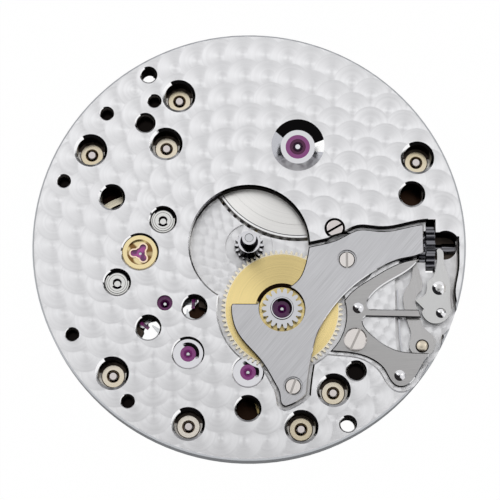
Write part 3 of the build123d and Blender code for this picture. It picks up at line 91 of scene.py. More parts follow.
def as_object(mesh, name, material):
    """Puts a finished bmesh into the scene as an object with its material."""
    data = bpy.data.meshes.new(name)
    mesh.to_mesh(data)
    mesh.free()
    data.materials.append(material)
    made = bpy.data.objects.new(name, data)
    scene.collection.objects.link(made)
    return made


def sheet(name, size, place, material):
    """A flat square in its place, which isn't part of the object."""
    mesh = bmesh.new()
    bmesh.ops.create_grid(mesh, x_segments=1, y_segments=1, size=size / 2, matrix=place)
    made = as_object(mesh, name, material)
    return made


scene = bpy.context.scene
scene.view_settings.view_transform = "Standard"

world = bpy.data.worlds.new("white room")
world.use_nodes = True
room = world.node_tree
room.nodes.clear()
path = add(room, "LightPath").outputs
seen = add(room, "Math", path["Is Camera Ray"], path["Is Glossy Ray"], operation="MAXIMUM")
seen = add(room, "Math", seen, path["Is Transmission Ray"], operation="MAXIMUM")
level = add(room, "MapRange", seen, inputs={"To Min": room_strength, "To Max": 1.0})
add(room, "OutputWorld", add(room, "Background", grey(1), level))
scene.world = world

for name, (place, size, power) in lamps.items():
    lamp = bpy.data.lights.new(name, "AREA")
    lamp.size = size
    lamp.energy = power
    hung = bpy.data.objects.new(name, lamp)
    hung.location = Vector(place)
    hung.rotation_euler = (Vector((0, 0, dial_height)) - hung.location).to_track_quat("-Z", "Y").to_euler()
    scene.collection.objects.link(hung)

table = bpy.data.materials.new("white table")
table.use_nodes = True
tree = table.node_tree
tree.nodes.clear()
seen = add(tree, "LightPath").outputs["Is Camera Ray"]
seen = add(tree, "Math", seen, table_glow, operation="MULTIPLY")
white_paint = add(tree, "BsdfDiffuse", grey(0.9))
add(tree, "OutputMaterial", add(tree, "MixShader", seen, white_paint, add(tree, "Emission", grey(1), 1.0)))
sheet("table", table_size, Matrix.Translation((0, 0, -table_drop)), table)

# The card stands where the camera's lens is, and shows only in what the metal mirrors
black_card = finish_of("black card", grey(0.003), 0, 1, Specular_IOR_Level=0)
lens_turn = Matrix.Rotation(-math.pi / 2, 4, "Z") @ Matrix.Rotation(math.pi / 2 - camera_elevation, 4, "Y")
lens_place = Matrix.Translation((0, 0, dial_height)) @ lens_turn @ Matrix.Translation((0, 0, card_distance))
lens_card = sheet("lens card", card_size, lens_place, black_card)
lens_card.visible_camera = False
lens_card.visible_diffuse = False
lens_card.visible_shadow = False

towards = Vector((0, -math.cos(camera_elevation), math.sin(camera_elevation)))
upwards = Vector((0, math.sin(camera_elevation), math.cos(camera_elevation)))
camera = bpy.data.objects.new("camera", bpy.data.cameras.new("camera"))
camera.data.lens = lens_length
camera.data.clip_start = nearest_seen
camera.location = picture_centre - upwards * picture_drop + towards * camera_distance
camera.rotation_euler = (-towards).to_track_quat("-Z", "Y").to_euler()
scene.collection.objects.link(camera)
scene.camera = camera

# The main plate. Brass, turned and milled, then plated with rhodium. Its dial face is spotted all over
# with a turning peg (perlage), in rings round the centre, each spot overlapping the one before it; the
# sunk floors have smaller spots. Chamfers are polished bright, and the turned rim is a satin grey.
rim_radius = 14.85 * MM
sunk_level = dial_height - 0.2 * MM
deep_level = dial_height - 1.3 * MM
perlage_pitch = 1.6 * MM
fine_pitch = 0.72 * MM
spot_share = 0.80
ring_start = 0.37
ring_seed, spot_seed = 7.3, 11.7
# Grain stretches a highlight across itself, and a grey tint holds back what steep faces mirror
highlight_stretch = 0.7
steep_tint = 0.35
flat_roughness, bevel_roughness = 0.38, 0.12
near_bevel_haze, wall_haze = 0.4, 0.5
# A normal's z from which a face counts as lying flat, and up to which it counts as upright
flat_face, upright_face = 0.97, 0.3
# How far a normal leans towards the dark side of the room where a slope's painted dark reflection begins,
# and where it is whole; and the same towards 12 o'clock, for the painted shade on chamfers on the near side
# of a hole, and for walls painted light
dark_way = (-0.707, -0.707, 0)
dark_slopes = (0.14, 0.22)
near_slopes = (0.25, 0.6)
painted_lit_walls = (-0.45, -0.1)


def linear(code):
    """A hex sRGB colour as the linear numbers that a shader takes."""
    parts = [int(code[k : k + 2], 16) / 255 for k in (1, 3, 5)]
    return tuple(p / 12.92 if p <= 0.04045 else ((p + 0.055) / 1.055) ** 2.4 for p in parts) + (1,)


rhodium = linear("#DEDEE0")
polished_bevel = linear("#FAFAFB")
# Painted light and shade: a shaded bevel, a dark reflection, and the walls' dark and light tones
shaded_bevel = linear("#B8B8BB")
painted_dark_reflection = linear("#0E0D0E")
painted_shade_wall = linear("#2A2624")
painted_lit_wall = linear("#E8E5E0")
rim_tone = linear("#BABCC0")


def feed(material, **nodes):
    """Lets nodes set sockets of a material's shader, which are named with underscores."""
    tree = material.node_tree
    for socket, node in nodes.items():
        tree.links.new(node.outputs[0], tree.nodes["Principled BSDF"].inputs[socket.replace("_", " ")])


def from_axis(tree, axis):
    """The way from an upright axis, given in mm or by a node, as a level vector and as its length."""
    if isinstance(axis, tuple):
        axis = (axis[0] * MM, axis[1] * MM, 0)
    away = add(tree, "VectorMath", add(tree, "TexCoord").outputs["Object"], axis, operation="SUBTRACT")
    away = add(tree, "VectorMath", away, (1, 1, 0), operation="MULTIPLY")
    return away, add(tree, "VectorMath", away, operation="LENGTH").outputs["Value"]


def painted_dark_side(tree):
    """How far a slope gets a painted reflection of the room's dark side, from 7 to 2 o'clock: 0 to 1."""
    slope = add(tree, "NewGeometry").outputs["True Normal"]
    away = add(tree, "VectorMath", slope, dark_way, operation="DOT_PRODUCT")
    return add(tree, "MapRange", away.outputs["Value"], *dark_slopes)


perlage = finish_of(
    "rhodium plate, perlage", rhodium, 1, flat_roughness, Anisotropic=highlight_stretch,
    Specular_Tint=grey(steep_tint),
)
tree = perlage.node_tree
point = add(tree, "SeparateXYZ", add(tree, "TexCoord").outputs["Object"]).outputs
normal = add(tree, "SeparateXYZ", add(tree, "NewGeometry").outputs["True Normal"]).outputs
tilt = add(tree, "Math", normal["Z"], operation="ABSOLUTE")
facing = add(tree, "Math", tilt, flat_face, operation="GREATER_THAN")
upright = add(tree, "Math", tilt, upright_face, operation="LESS_THAN")
# A point can lie in spots of two rings, two neighbours in each; the spot that is cut last lies on top
level, radius = from_axis(tree, (0, 0))
angle = add(tree, "Math", point["Y"], point["X"], operation="ARCTAN2")
sunk = add(tree, "Math", point["Z"], sunk_level, operation="LESS_THAN")
pitch = add(tree, "Math", sunk, fine_pitch - perlage_pitch, perlage_pitch, operation="MULTIPLY_ADD")
reach = add(tree, "Math", pitch, spot_share, operation="MULTIPLY")
row = add(tree, "Math", radius, pitch, operation="DIVIDE")
row = add(tree, "Math", add(tree, "Math", row, 0.5, operation="SUBTRACT"), operation="FLOOR")
spot = None
for ring in (1, 0):
    index = add(tree, "Math", row, ring)
    centre = add(tree, "Math", add(tree, "Math", index, 0.5), pitch, operation="MULTIPLY")
    count = add(tree, "Math", centre, pitch, operation="DIVIDE")
    count = add(tree, "Math", count, 2 * math.pi, operation="MULTIPLY")
    count = add(tree, "Math", add(tree, "Math", count, operation="ROUND"), 1.0, operation="MAXIMUM")
    step = add(tree, "Math", 2 * math.pi, count, operation="DIVIDE")
    shift = add(tree, "Math", index, ring_start, operation="MULTIPLY")
    column = add(tree, "Math", add(tree, "Math", angle, step, operation="DIVIDE"), shift)
    column = add(tree, "Math", add(tree, "Math", column, 0.5, operation="SUBTRACT"), operation="FLOOR")
    for neighbour in (1, 0):
        number = add(tree, "Math", column, neighbour + 0.5)
        bearing = add(tree, "Math", number, shift, operation="SUBTRACT")
        bearing = add(tree, "Math", bearing, step, operation="MULTIPLY")
        ahead = add(tree, "CombineXYZ", add(tree, "Math", bearing, operation="COSINE"),
                    add(tree, "Math", bearing, operation="SINE"))
        middle = add(tree, "VectorMath", ahead, inputs={"Scale": centre}, operation="SCALE")
        offset = add(tree, "VectorMath", level, middle, operation="SUBTRACT")
        distance = add(tree, "VectorMath", offset, operation="LENGTH").outputs["Value"]
        mark = add(tree, "Math", index, ring_seed, number, operation="MULTIPLY_ADD")
        if spot is None:
            spot, depth, seed = offset, distance, mark
        else:
            covered = add(tree, "Math", distance, reach, operation="LESS_THAN")
            spot = add(tree, "MixRGB", covered, spot, offset)
            depth = add(tree, "MapRange", covered, 0.0, 1.0, depth, distance)
            seed = add(tree, "MapRange", covered, 0.0, 1.0, seed, mark)
# The peg's grit leaves fine rings in each spot, drawn here coarser than the real ones so that they show.
# Each spot also gets painted highlights in soft fans across its grooves, besides the sheen of its grain.
# Both are fainter in the sunk floors.
groove_width = 0.25 * MM
groove_depth, groove_strength = 0.02 * MM, 0.05
groove_tone, groove_contrast = 0.93, 0.15
painted_fan_power, painted_fan_glow = 9.0, 0.04
spot_edge, edge_glow = 0.9, -0.05
sunk_strength = 0.2
outward = add(tree, "VectorMath", spot, operation="NORMALIZE")
along = add(tree, "Math", depth, groove_width, operation="DIVIDE")
along = add(tree, "Math", seed, spot_seed, along, operation="MULTIPLY_ADD")
grooves = add(tree, "TexNoise", inputs={"W": along, "Scale": 1.0, "Detail": 2.0}, noise_dimensions="1D")
# Painted highlight: each spot is lighter to its left and right, across its grooves
side = add(tree, "SeparateXYZ", outward).outputs["X"]
painted_fan = add(tree, "Math", add(tree, "Math", side, operation="ABSOLUTE"), painted_fan_power, operation="POWER")
edge = add(tree, "MapRange", add(tree, "Math", depth, reach, operation="DIVIDE"), spot_edge, 1.0)
shade = add(tree, "Math", grooves, groove_contrast, groove_tone, operation="MULTIPLY_ADD")
shade = add(tree, "Math", painted_fan, painted_fan_glow, shade, operation="MULTIPLY_ADD")
shade = add(tree, "Math", edge, edge_glow, shade, operation="MULTIPLY_ADD")
faint = add(tree, "MapRange", sunk, 0.0, 1.0, 1.0, sunk_strength)
shade = add(tree, "Math", shade, 1.0, operation="SUBTRACT")
shade = add(tree, "Math", shade, faint, 1.0, operation="MULTIPLY_ADD")
spotted = add(tree, "VectorMath", rhodium[:3], inputs={"Scale": shade}, operation="SCALE")
# The chamfers mirror the white room. Their sides that look towards its dark part get a painted dark
# reflection, and those on the near side of a hole painted shade. Bored walls are painted dark, as
# painted shade, where they look towards 6 o'clock, and painted light elsewhere.
near_side = add(tree, "MapRange", normal["Y"], *near_slopes)
bevel = add(tree, "MixRGB", near_side, polished_bevel, shaded_bevel)
bevel = add(tree, "MixRGB", painted_dark_side(tree), bevel, painted_dark_reflection)
wall = add(tree, "MixRGB", add(tree, "MapRange", normal["Y"], *painted_lit_walls), painted_shade_wall, painted_lit_wall)
# The wide sink round the barrel's jewel gets a painted reflection of the dark room over its upper half, and
# of one bright window. An arc is given by the bearing of its middle and by half of its spread, in degrees.
barrel_centre = (3.4, 7.05)
jewel_sink_reach = 2.0 * MM
painted_window_arc, painted_dark_arc = (-2, 14), (80, 68)
away, distance = from_axis(tree, barrel_centre)
sink = add(tree, "Math", distance, jewel_sink_reach, operation="LESS_THAN")
sides = add(tree, "SeparateXYZ", away).outputs
bearing = add(tree, "Math", sides["Y"], sides["X"], operation="ARCTAN2")
slope = add(tree, "MixRGB", near_side, linear("#BDBEC4"), shaded_bevel)
for (middle, spread), colour in ((painted_window_arc, grey(1)), (painted_dark_arc, painted_dark_reflection)):
    arc = add(tree, "Math", bearing, math.radians(middle), math.radians(spread), operation="COMPARE")
    slope = add(tree, "MixRGB", arc, slope, colour)
bevel = add(tree, "MixRGB", sink, bevel, slope)
# The deep floors are painted dark, as painted shade. Round the bushes they are turned bright, apart from a
# fine dark joint line at the bush's foot and from their far half, which is painted dark as a painted
# reflection of the dark wall over it.
painted_shade_floor_and_joint = linear("#4A423C")
bright_floor = linear("#DAD7D2")
bush_places = [
    (-4.92, 10.56), (-5.805, 7.125), (-11.04, 6.66), (-9.39, -9.0), (-4.17, -12.495), (3.57, -12.69),
    (5.79, -10.17), (11.715, 6.135),
]
bush_foot, bush_line = 0.79 * MM, 0.035 * MM
bush_floor_reach = 1.2 * MM
bush_floor_top = 0.25 * MM
nearest = None
for bush in bush_places:
    away, distance = from_axis(tree, bush)
    above = add(tree, "SeparateXYZ", away).outputs["Y"]
    if nearest is None:
        nearest, height = distance, above
    else:
        closer = add(tree, "Math", distance, nearest, operation="LESS_THAN")
        height = add(tree, "MapRange", closer, 0.0, 1.0, height, above)
        nearest = add(tree, "Math", distance, nearest, operation="MINIMUM")
bright = add(tree, "Math", nearest, bush_floor_reach, operation="LESS_THAN")
lower = add(tree, "Math", height, bush_floor_top, operation="LESS_THAN")
bright = add(tree, "Math", bright, lower, operation="MULTIPLY")
line = add(tree, "Math", nearest, bush_foot, bush_line, operation="COMPARE")
# The dark floor tone is painted shade, and it also draws the joint line at the bush's foot
floors = add(tree, "MixRGB", bright, painted_shade_floor_and_joint, bright_floor)
floors = add(tree, "MixRGB", line, floors, painted_shade_floor_and_joint)
deep = add(tree, "Math", point["Z"], deep_level, operation="LESS_THAN")
upward = add(tree, "Math", normal["Z"], flat_face, operation="GREATER_THAN")
deep = add(tree, "Math", deep, upward, operation="MULTIPLY")
outside = add(tree, "Math", radius, rim_radius, operation="GREATER_THAN")
sloped = add(tree, "Math", normal["Z"], flat_face, operation="LESS_THAN")
turned_rim = add(tree, "Math", outside, sloped, operation="MULTIPLY")
tint = add(tree, "MixRGB", facing, bevel, spotted)
tint = add(tree, "MixRGB", deep, tint, floors)
tint = add(tree, "MixRGB", upright, tint, wall)
tint = add(tree, "MixRGB", turned_rim, tint, rim_tone)
soft = add(tree, "MapRange", facing, 0.0, 1.0, bevel_roughness, flat_roughness)
soft = add(tree, "Math", near_side, near_bevel_haze, soft, operation="MULTIPLY_ADD")
soft = add(tree, "Math", upright, wall_haze, soft, operation="MULTIPLY_ADD")
relief = add(tree, "Math", grooves, facing, operation="MULTIPLY")
relief = add(tree, "Math", relief, faint, operation="MULTIPLY")
bump = add(tree, "Bump", inputs={"Strength": groove_strength, "Distance": groove_depth, "Height": relief})
feed(perlage, Base_Color=tint, Roughness=soft, Tangent=outward, Normal=bump)


def dress(material, slot, *nodes):
    """Gives CAD nodes their finish. Its slot, the material slot that the finish stands for, is not used."""
    for name in nodes:
        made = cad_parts[name]
        made.data.materials.clear()
        made.data.materials.append(material)


dress(perlage, "rhodium_plate", "main_plate")

# The tapped holes of the plate. Seven blind holes take the case and dial screws; their brass threads are
# cut with a tap and plated with the plate, and show as thin bright lines in a dark hole, whose floor is
# painted near-black as painted shade.
thread_pitch = 0.24 * MM
thread_depth = 0.07 * MM
thread_top = dial_height - 0.08 * MM
thread_bottom = dial_height - 1.17 * MM
# A groove's foot stands in by a share of the thread's depth, and lies under its crest by one of the pitch
root_share, flank_share = 0.2, 0.4
thread_steps = 40
thread_tone = linear("#8A8684")
painted_shade_hole_floor = linear("#141110")
tapped_holes = [  # x, y and radius in mm
    (-9.945, 9.3, 0.455), (-6.63, 10.2, 0.455), (-12.885, 4.47, 0.455), (-12.165, -6.315, 0.455),
    (-8.31, -10.935, 0.455), (-7.26, 8.625, 0.63), (7.335, -8.835, 0.63),
]


def fix_to_plate(mesh, name, material):
    """Turns a mesh's faces outwards, and makes it a piece that is fixed to the plate."""
    bmesh.ops.recalc_face_normals(mesh, faces=mesh.faces)
    made = as_object(mesh, name, material)
    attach(made, "plate")


def turned_pieces(name, outlines, steps, material):
    """Spins outlines round their own upright axes. One that starts on its axis ends there; others close."""
    mesh = bmesh.new()
    for x, y, outline in outlines:
        corners = [mesh.verts.new((x * MM + away, y * MM, height)) for away, height in outline]
        following = corners[1:] if outline[0][0] == 0 else corners[1:] + corners[:1]
        sides = [mesh.edges.new(pair) for pair in zip(corners, following)]
        bmesh.ops.spin(
            mesh, geom=corners + sides, cent=(x * MM, y * MM, 0), axis=(0, 0, 1), angle=2 * math.pi,
            steps=steps, use_merge=True,
        )
    bmesh.ops.remove_doubles(mesh, verts=mesh.verts, dist=0.001 * MM)
    fix_to_plate(mesh, name, material)


tapped = finish_of("plated thread, tapped", thread_tone, 1, 0.2)
tree = tapped.node_tree
tilt = add(tree, "SeparateXYZ", add(tree, "NewGeometry").outputs["True Normal"]).outputs["Z"]
tilt = add(tree, "Math", tilt, operation="ABSOLUTE")
floor = add(tree, "Math", tilt, flat_face, operation="GREATER_THAN")
# The holes' flat floors are painted near-black, as painted shade
feed(tapped, Base_Color=add(tree, "MixRGB", floor, thread_tone, painted_shade_hole_floor))
turns = int((thread_top - thread_bottom) / thread_pitch)
threads = []
for x, y, radius in tapped_holes:
    wall, root = radius * MM, radius * MM - thread_depth * root_share
    outline = [(0, thread_bottom), (wall, thread_bottom), (wall, thread_bottom + turns * thread_pitch)]
    for turn in range(turns, 0, -1):
        crest = thread_bottom + (turn - 0.5) * thread_pitch
        outline += [(wall - thread_depth, crest), (root, crest - thread_pitch * flank_share)]
    threads.append((x, y, outline + [(0, thread_bottom + thread_pitch * (0.5 - flank_share))]))
turned_pieces("case_hole_threads", threads, thread_steps, tapped)

# The jewels. Synthetic ruby, ground and polished, with an oil sink; light goes in and comes back a deep
# purple-red. The train's jewels sit in polished steel settings with a funnel down to the stone.
ruby_tone = linear("#863C7C")
ruby_ior = 1.77
painted_flecks_per_mm = 2.6
deeper_stones = [  # x, y and reach in mm, and the colour that the stone has there
    (2.27, -4.45, 1.0, "#4A1448"), (*barrel_centre, 1.0, "#8A4480"), (*barrel_centre, 0.56, "#4A0E3C"),
    (-5.93, -3.98, 0.7, "#5E2058"),
]
ruby = finish_of("ruby, polished", ruby_tone, 0, 0.05, IOR=ruby_ior, Specular_IOR_Level=0.2)
tree = ruby.node_tree
tint = ruby_tone
for x, y, stone_reach, code in deeper_stones:
    away, distance = from_axis(tree, (x, y))
    near = add(tree, "Math", distance, stone_reach * MM, operation="LESS_THAN")
    tint = add(tree, "MixRGB", near, tint, linear(code))
feed(ruby, Base_Color=tint)
dress(ruby, "ruby", "plate_jewels", "bridge_jewels", "barrel_jewel")
# The pallet stones and the balance's jewels are small and thick; their colour is painted in light and dark
# specks, as painted glints of the light that breaks up in them
stone = finish_of(
    "pallet ruby, polished", linear("#B446A0"), 0, 0.05, IOR=ruby_ior, Specular_IOR_Level=0.3,
)
tree = stone.node_tree
place = add(tree, "TexCoord").outputs["Object"]
painted_flecks = add(tree, "TexNoise", inputs={"Vector": place, "Scale": painted_flecks_per_mm / MM, "Detail": 0.0})
painted_flecks = add(tree, "MapRange", painted_flecks, 0.4, 0.6)
feed(stone, Base_Color=add(tree, "MixRGB", painted_flecks, linear("#6E2C6C"), linear("#B850A6")))
dress(stone, "ruby", "shock_jewels", "pallet_stones")
# The settings' flat tops are bright all round, and their funnels get a painted dark reflection on one side
setting_tone = linear("#D6D6DA")
polished = finish_of("steel setting, polished", setting_tone, 1, 0.07)
tree = polished.node_tree
top = add(tree, "SeparateXYZ", add(tree, "NewGeometry").outputs["True Normal"]).outputs["Z"]
top = add(tree, "Math", top, flat_face, operation="GREATER_THAN")
tint = add(tree, "MixRGB", painted_dark_side(tree), setting_tone, painted_dark_reflection)
feed(polished, Base_Color=add(tree, "MixRGB", top, tint, setting_tone))
dress(polished, "jewel_setting", "jewel_settings", "third_wheel_chaton", "barrel_jewel_ring")

# The shock settings of the balance. Turned and gilt brass blocks; a flat three-lobed spring, stamped and
# polished, frames the ruby that holds the pivot. The block's pocket is painted brown, as painted shade,
# with painted golden glints.
pocket_level = dial_height - 0.52 * MM
pocket_reach = 0.1 * MM
painted_glints_per_mm = 1.9
gold = finish_of("gilt brass, turned", linear("#EAD69A"), 1, 0.16)
tree = gold.node_tree
place = add(tree, "TexCoord").outputs["Object"]
height = add(tree, "SeparateXYZ", place).outputs["Z"]
pocket = add(tree, "Math", height, pocket_level, pocket_reach, operation="COMPARE")
painted_glint = add(tree, "TexNoise", inputs={"Vector": place, "Scale": painted_glints_per_mm / MM, "Detail": 0.0})
painted_glint = add(tree, "MapRange", painted_glint, 0.45, 0.6)
# Painted shade in the pocket, with painted glints
painted_shade_hollow = add(tree, "MixRGB", painted_glint, linear("#7A5A34"), linear("#E4D3A4"))
feed(gold, Base_Color=add(tree, "MixRGB", pocket, linear("#EAD9AA"), painted_shade_hollow))
dress(gold, "gold_block", "lower_shock_block", "upper_shock_block")
clasp = finish_of("gilt spring, polished", linear("#F4DCC2"), 1, 0.1)
dress(clasp, "gold_block", "lower_shock_spring")

# The bushes and the ring posts. Turned nickel bushes, pressed into the bottom of polished sinks, take the
# bridge screws; their nickel has yellowed in patches. Two turned steel posts stand beside the balance.
patches_per_mm = 0.18
nickel = finish_of("nickel bush, turned", linear("#DDD0BC"), 1, 0.2)
tree = nickel.node_tree
place = add(tree, "TexCoord").outputs["Object"]
patina = add(tree, "TexNoise", inputs={"Vector": place, "Scale": patches_per_mm / MM, "Detail": 1.0})
patina = add(tree, "MapRange", patina, 0.35, 0.65)
feed(nickel, Base_Color=add(tree, "MixRGB", patina, linear("#E6DFD4"), linear("#D2C4A4")))
dress(nickel, "bush_nickel", "bridge_bushes")
# Each post has a turned lip and a bore; their reflections of the room are painted on as fine rings and dark
# crescents. A band is given by the middle and half the width of its ring in mm, and the middle and half the
# arc in degrees.
post_places = [(-9.12, -2.67), (-5.985, 1.74)]
between_posts = -7.5 * MM
lip_outline = [(0.705, 2.85), (0.85, 2.85), (0.85, 2.95), (0.81, 3.0), (0.705, 3.0)]
lip_steps = 48
painted_post_reflections = [
    (0.57, 0.02, 0, 180, "#8A8A88"), (0.72, 0.02, 0, 180, "#6E6E6C"), (0.80, 0.07, 75, 62, "#101013"),
    (0.27, 0.06, 80, 75, "#6A6A6C"), (0.31, 0.11, -90, 55, "#0E0D10"),
]
post_steel = finish_of("ring post, turned steel", linear("#CFCFCD"), 1, 0.14)
tree = post_steel.node_tree
inner_post = add(tree, "SeparateXYZ", add(tree, "TexCoord").outputs["Object"])
inner_post = add(tree, "Math", inner_post, between_posts, operation="GREATER_THAN")
axis = [
    add(tree, "MapRange", inner_post, 0.0, 1.0, outer * MM, inner * MM)
    for outer, inner in zip(*post_places)
]
away, distance = from_axis(tree, add(tree, "CombineXYZ", *axis))
sides = add(tree, "SeparateXYZ", away).outputs
bearing = add(tree, "Math", sides["Y"], sides["X"], operation="ARCTAN2")
tint = linear("#D8D8D6")
# Each band is a painted reflection laid over the posts' tone
for middle, reach, arc_middle, spread, code in painted_post_reflections:
    arc = add(tree, "Math", bearing, math.radians(arc_middle), math.radians(spread), operation="COMPARE")
    band = add(tree, "Math", distance, middle * MM, reach * MM, operation="COMPARE")
    band = add(tree, "Math", band, arc, operation="MULTIPLY")
    tint = add(tree, "MixRGB", band, tint, linear(code))
feed(post_steel, Base_Color=tint)
dress(post_steel, "bush_nickel", "ring_posts")
lip = [(away * MM, height * MM) for away, height in lip_outline]
turned_pieces("ring_post_lips", [(x, y, lip) for x, y in post_places], lip_steps, post_steel)

# The bridge screws. Hardened steel with polished heads; they are driven from the back, and their ends show
# in the bushes. The balance's timing screws are turned and polished in the same way.
screw_steel = finish_of("screw steel, polished", linear("#CFC8C7"), 1, 0.14)
dress(screw_steel, "screw_steel", "bridge_screws", "pallet_bridge_screws", "timing_screws")

# The barrel. Drum and lid are turned from brass and nickel-plated; the lid shows through the opening
# beside the centre, with fine rings round its own axis. It is snapped into the drum's rim, whose polished
# edge gets a painted highlight and is set off by a fine turned line.
turned_mark = 0.09 * MM
painted_cut_shade = 0.45
cut_front = -0.1
lid_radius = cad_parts["barrel_cover"].dimensions.x / 2
lid_line = 0.16 * MM
lid_edge = 0.22 * MM
joint_line = 0.03 * MM


def turned_metal(name, code, roughness, centre, contrast=0.16):
    """Metal turned on a lathe: faint rings round its axis, drawn coarser than real so that they show, and
    highlights that spread across them, from its grain and as painted highlights. Its cut edges are painted
    darker as painted shade, and nearly black towards 6 o'clock as a painted dark reflection."""
    colour = linear(code)
    material = finish_of(name, colour, 1, roughness, Anisotropic=highlight_stretch)
    tree = material.node_tree
    away, distance = from_axis(tree, centre)
    rings = add(tree, "Math", distance, turned_mark, operation="DIVIDE")
    rings = add(tree, "TexNoise", inputs={"W": rings, "Scale": 1.0, "Detail": 2.0}, noise_dimensions="1D")
    shade = add(tree, "Math", rings, contrast, 1 - contrast / 2, operation="MULTIPLY_ADD")
    # Painted highlight, lighter to the left and right of the axis
    side = add(tree, "SeparateXYZ", add(tree, "VectorMath", away, operation="NORMALIZE")).outputs["X"]
    painted_fan = add(tree, "Math", side, side, operation="MULTIPLY")
    shade = add(tree, "Math", painted_fan, contrast, shade, operation="MULTIPLY_ADD")
    tint = add(tree, "VectorMath", colour[:3], inputs={"Scale": shade}, operation="SCALE")
    normal = add(tree, "SeparateXYZ", add(tree, "NewGeometry").outputs["True Normal"]).outputs
    cut = add(tree, "Math", normal["Z"], operation="ABSOLUTE")
    cut = add(tree, "Math", cut, flat_face, operation="LESS_THAN")
    painted_dark_front = add(tree, "Math", normal["Y"], cut_front, operation="LESS_THAN")
    painted_dark_front = add(tree, "Math", cut, painted_dark_front, operation="MULTIPLY")
    # Cut edges painted darker as painted shade, and near-black towards 6 o'clock as a painted dark
    # reflection
    tint = add(tree, "MixRGB", cut, tint, [part * painted_cut_shade for part in colour[:3]] + [1])
    tint = add(tree, "MixRGB", painted_dark_front, tint, linear("#1C120A"))
    radial = add(tree, "VectorTransform", away, convert_from="OBJECT", convert_to="WORLD")
    feed(material, Base_Color=tint, Tangent=radial)
    return material


def colour_so_far(material):
    """The socket that a material's colour comes from, to paint over."""
    return material.node_tree.nodes["Principled BSDF"].inputs["Base Color"].links[0].from_socket


barrel_metal = turned_metal("barrel, turned", "#E6E5E3", 0.3, barrel_centre)
tree = barrel_metal.node_tree
away, distance = from_axis(tree, barrel_centre)
# The polished edge's bright ring is a painted highlight; the dark line is the lid's joint
edge = add(tree, "Math", distance, lid_radius + lid_line + lid_edge / 2, lid_edge / 2, operation="COMPARE")
joint = add(tree, "Math", distance, lid_radius + lid_line, joint_line, operation="COMPARE")
tint = add(tree, "MixRGB", edge, colour_so_far(barrel_metal), linear("#F4F4F5"))
feed(barrel_metal, Base_Color=add(tree, "MixRGB", joint, tint, linear("#5A5A60")))
dress(barrel_metal, "barrel_steel", "barrel_drum", "barrel_cover")
spring_steel = finish_of("barrel steel, polished", linear("#C4C4C8"), 1, 0.2)
dress(spring_steel, "barrel_steel", "mainspring")
# The arbor's pivot is burnished round; its middle is light, as a painted highlight of the lamp, and its
# edge is painted dark, as a painted reflection of the dark room
painted_pivot_glint = 0.17 * MM
pivot_tone = linear("#DCDCE0")
pivot_steel = finish_of("pivot steel, burnished", pivot_tone, 1, 0.15)
tree = pivot_steel.node_tree
away, distance = from_axis(tree, barrel_centre)
painted_dark_rim = add(tree, "Math", distance, painted_pivot_glint, operation="GREATER_THAN")
feed(pivot_steel, Base_Color=add(tree, "MixRGB", painted_dark_rim, pivot_tone, linear("#30202E")))
dress(pivot_steel, "barrel_steel", "barrel_arbor")

# The wheels. They are stamped from brass, turned and gilt; the balance wheel is a paler brass. The stud of
# the hairspring is turned from the balance's brass.
wheels = {  # place of its axis in mm, and colour
    "minute_wheel": ((2.27, -4.45), "#D6C289"),
    "centre_wheel": ((0, 0), "#D6C289"),
    "third_wheel": ((2.27, -4.45), "#D6C289"),
    "fourth_wheel": ((-0.08, -8.87), "#D6C289"),
    "balance_wheel": ((-7.56, -0.53), "#E6DEC8"),
}
brass = {}
for name, (centre, code) in wheels.items():
    brass[name] = turned_metal("brass " + name.replace("_", " ") + ", turned", code, 0.26, centre, 0.22)
    dress(brass[name], "gilt_brass", name)
dress(brass["balance_wheel"], "gilt_brass", "hairspring_stud")
# The teeth of the minute wheel are cut through the gilding and look paler than its web
tooth_height = 0.3 * MM
tooth_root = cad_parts["minute_wheel"].dimensions.x / 2 - tooth_height
tree = brass["minute_wheel"].node_tree
away, distance = from_axis(tree, wheels["minute_wheel"][0])
tooth = add(tree, "Math", distance, tooth_root, operation="GREATER_THAN")
tint = add(tree, "MixRGB", tooth, colour_so_far(brass["minute_wheel"]), linear("#E8DFC8"))
feed(brass["minute_wheel"], Base_Color=tint)

# The pinions, the arbors and the escapement. Hardened steel: the pinions are polished leaf by leaf, escape
# wheel and pallets are ground flat and polished, and the hairspring is a flat blade of blued-grey alloy.
pinion_steel = finish_of("pinion steel, polished", linear("#C6C7CB"), 1, 0.1)
dress(
    pinion_steel, "polished_steel", "minute_pinion", "centre_arbor", "third_pinion", "fourth_pinion",
    "escape_pinion", "balance_staff", "roller", "click_spring",
)
escape_steel = finish_of("escapement steel, polished", linear("#D2D4D6"), 1, 0.16)
dress(escape_steel, "polished_steel", "escape_wheel", "pallet_fork")
spring_alloy = finish_of("hairspring alloy", linear("#8E93A0"), 1, 0.25)
dress(spring_alloy, "polished_steel", "hairspring")

# The bridges of the back. Brass like the plate and plated with rhodium, their outer faces grained in
# straight lines; the hollows over the wheels are painted dark brown, as painted shade.
grain_width = 0.06 * MM
grain_length = 3.0 * MM
bevel_polish = 0.1
brushed_tint = 0.25


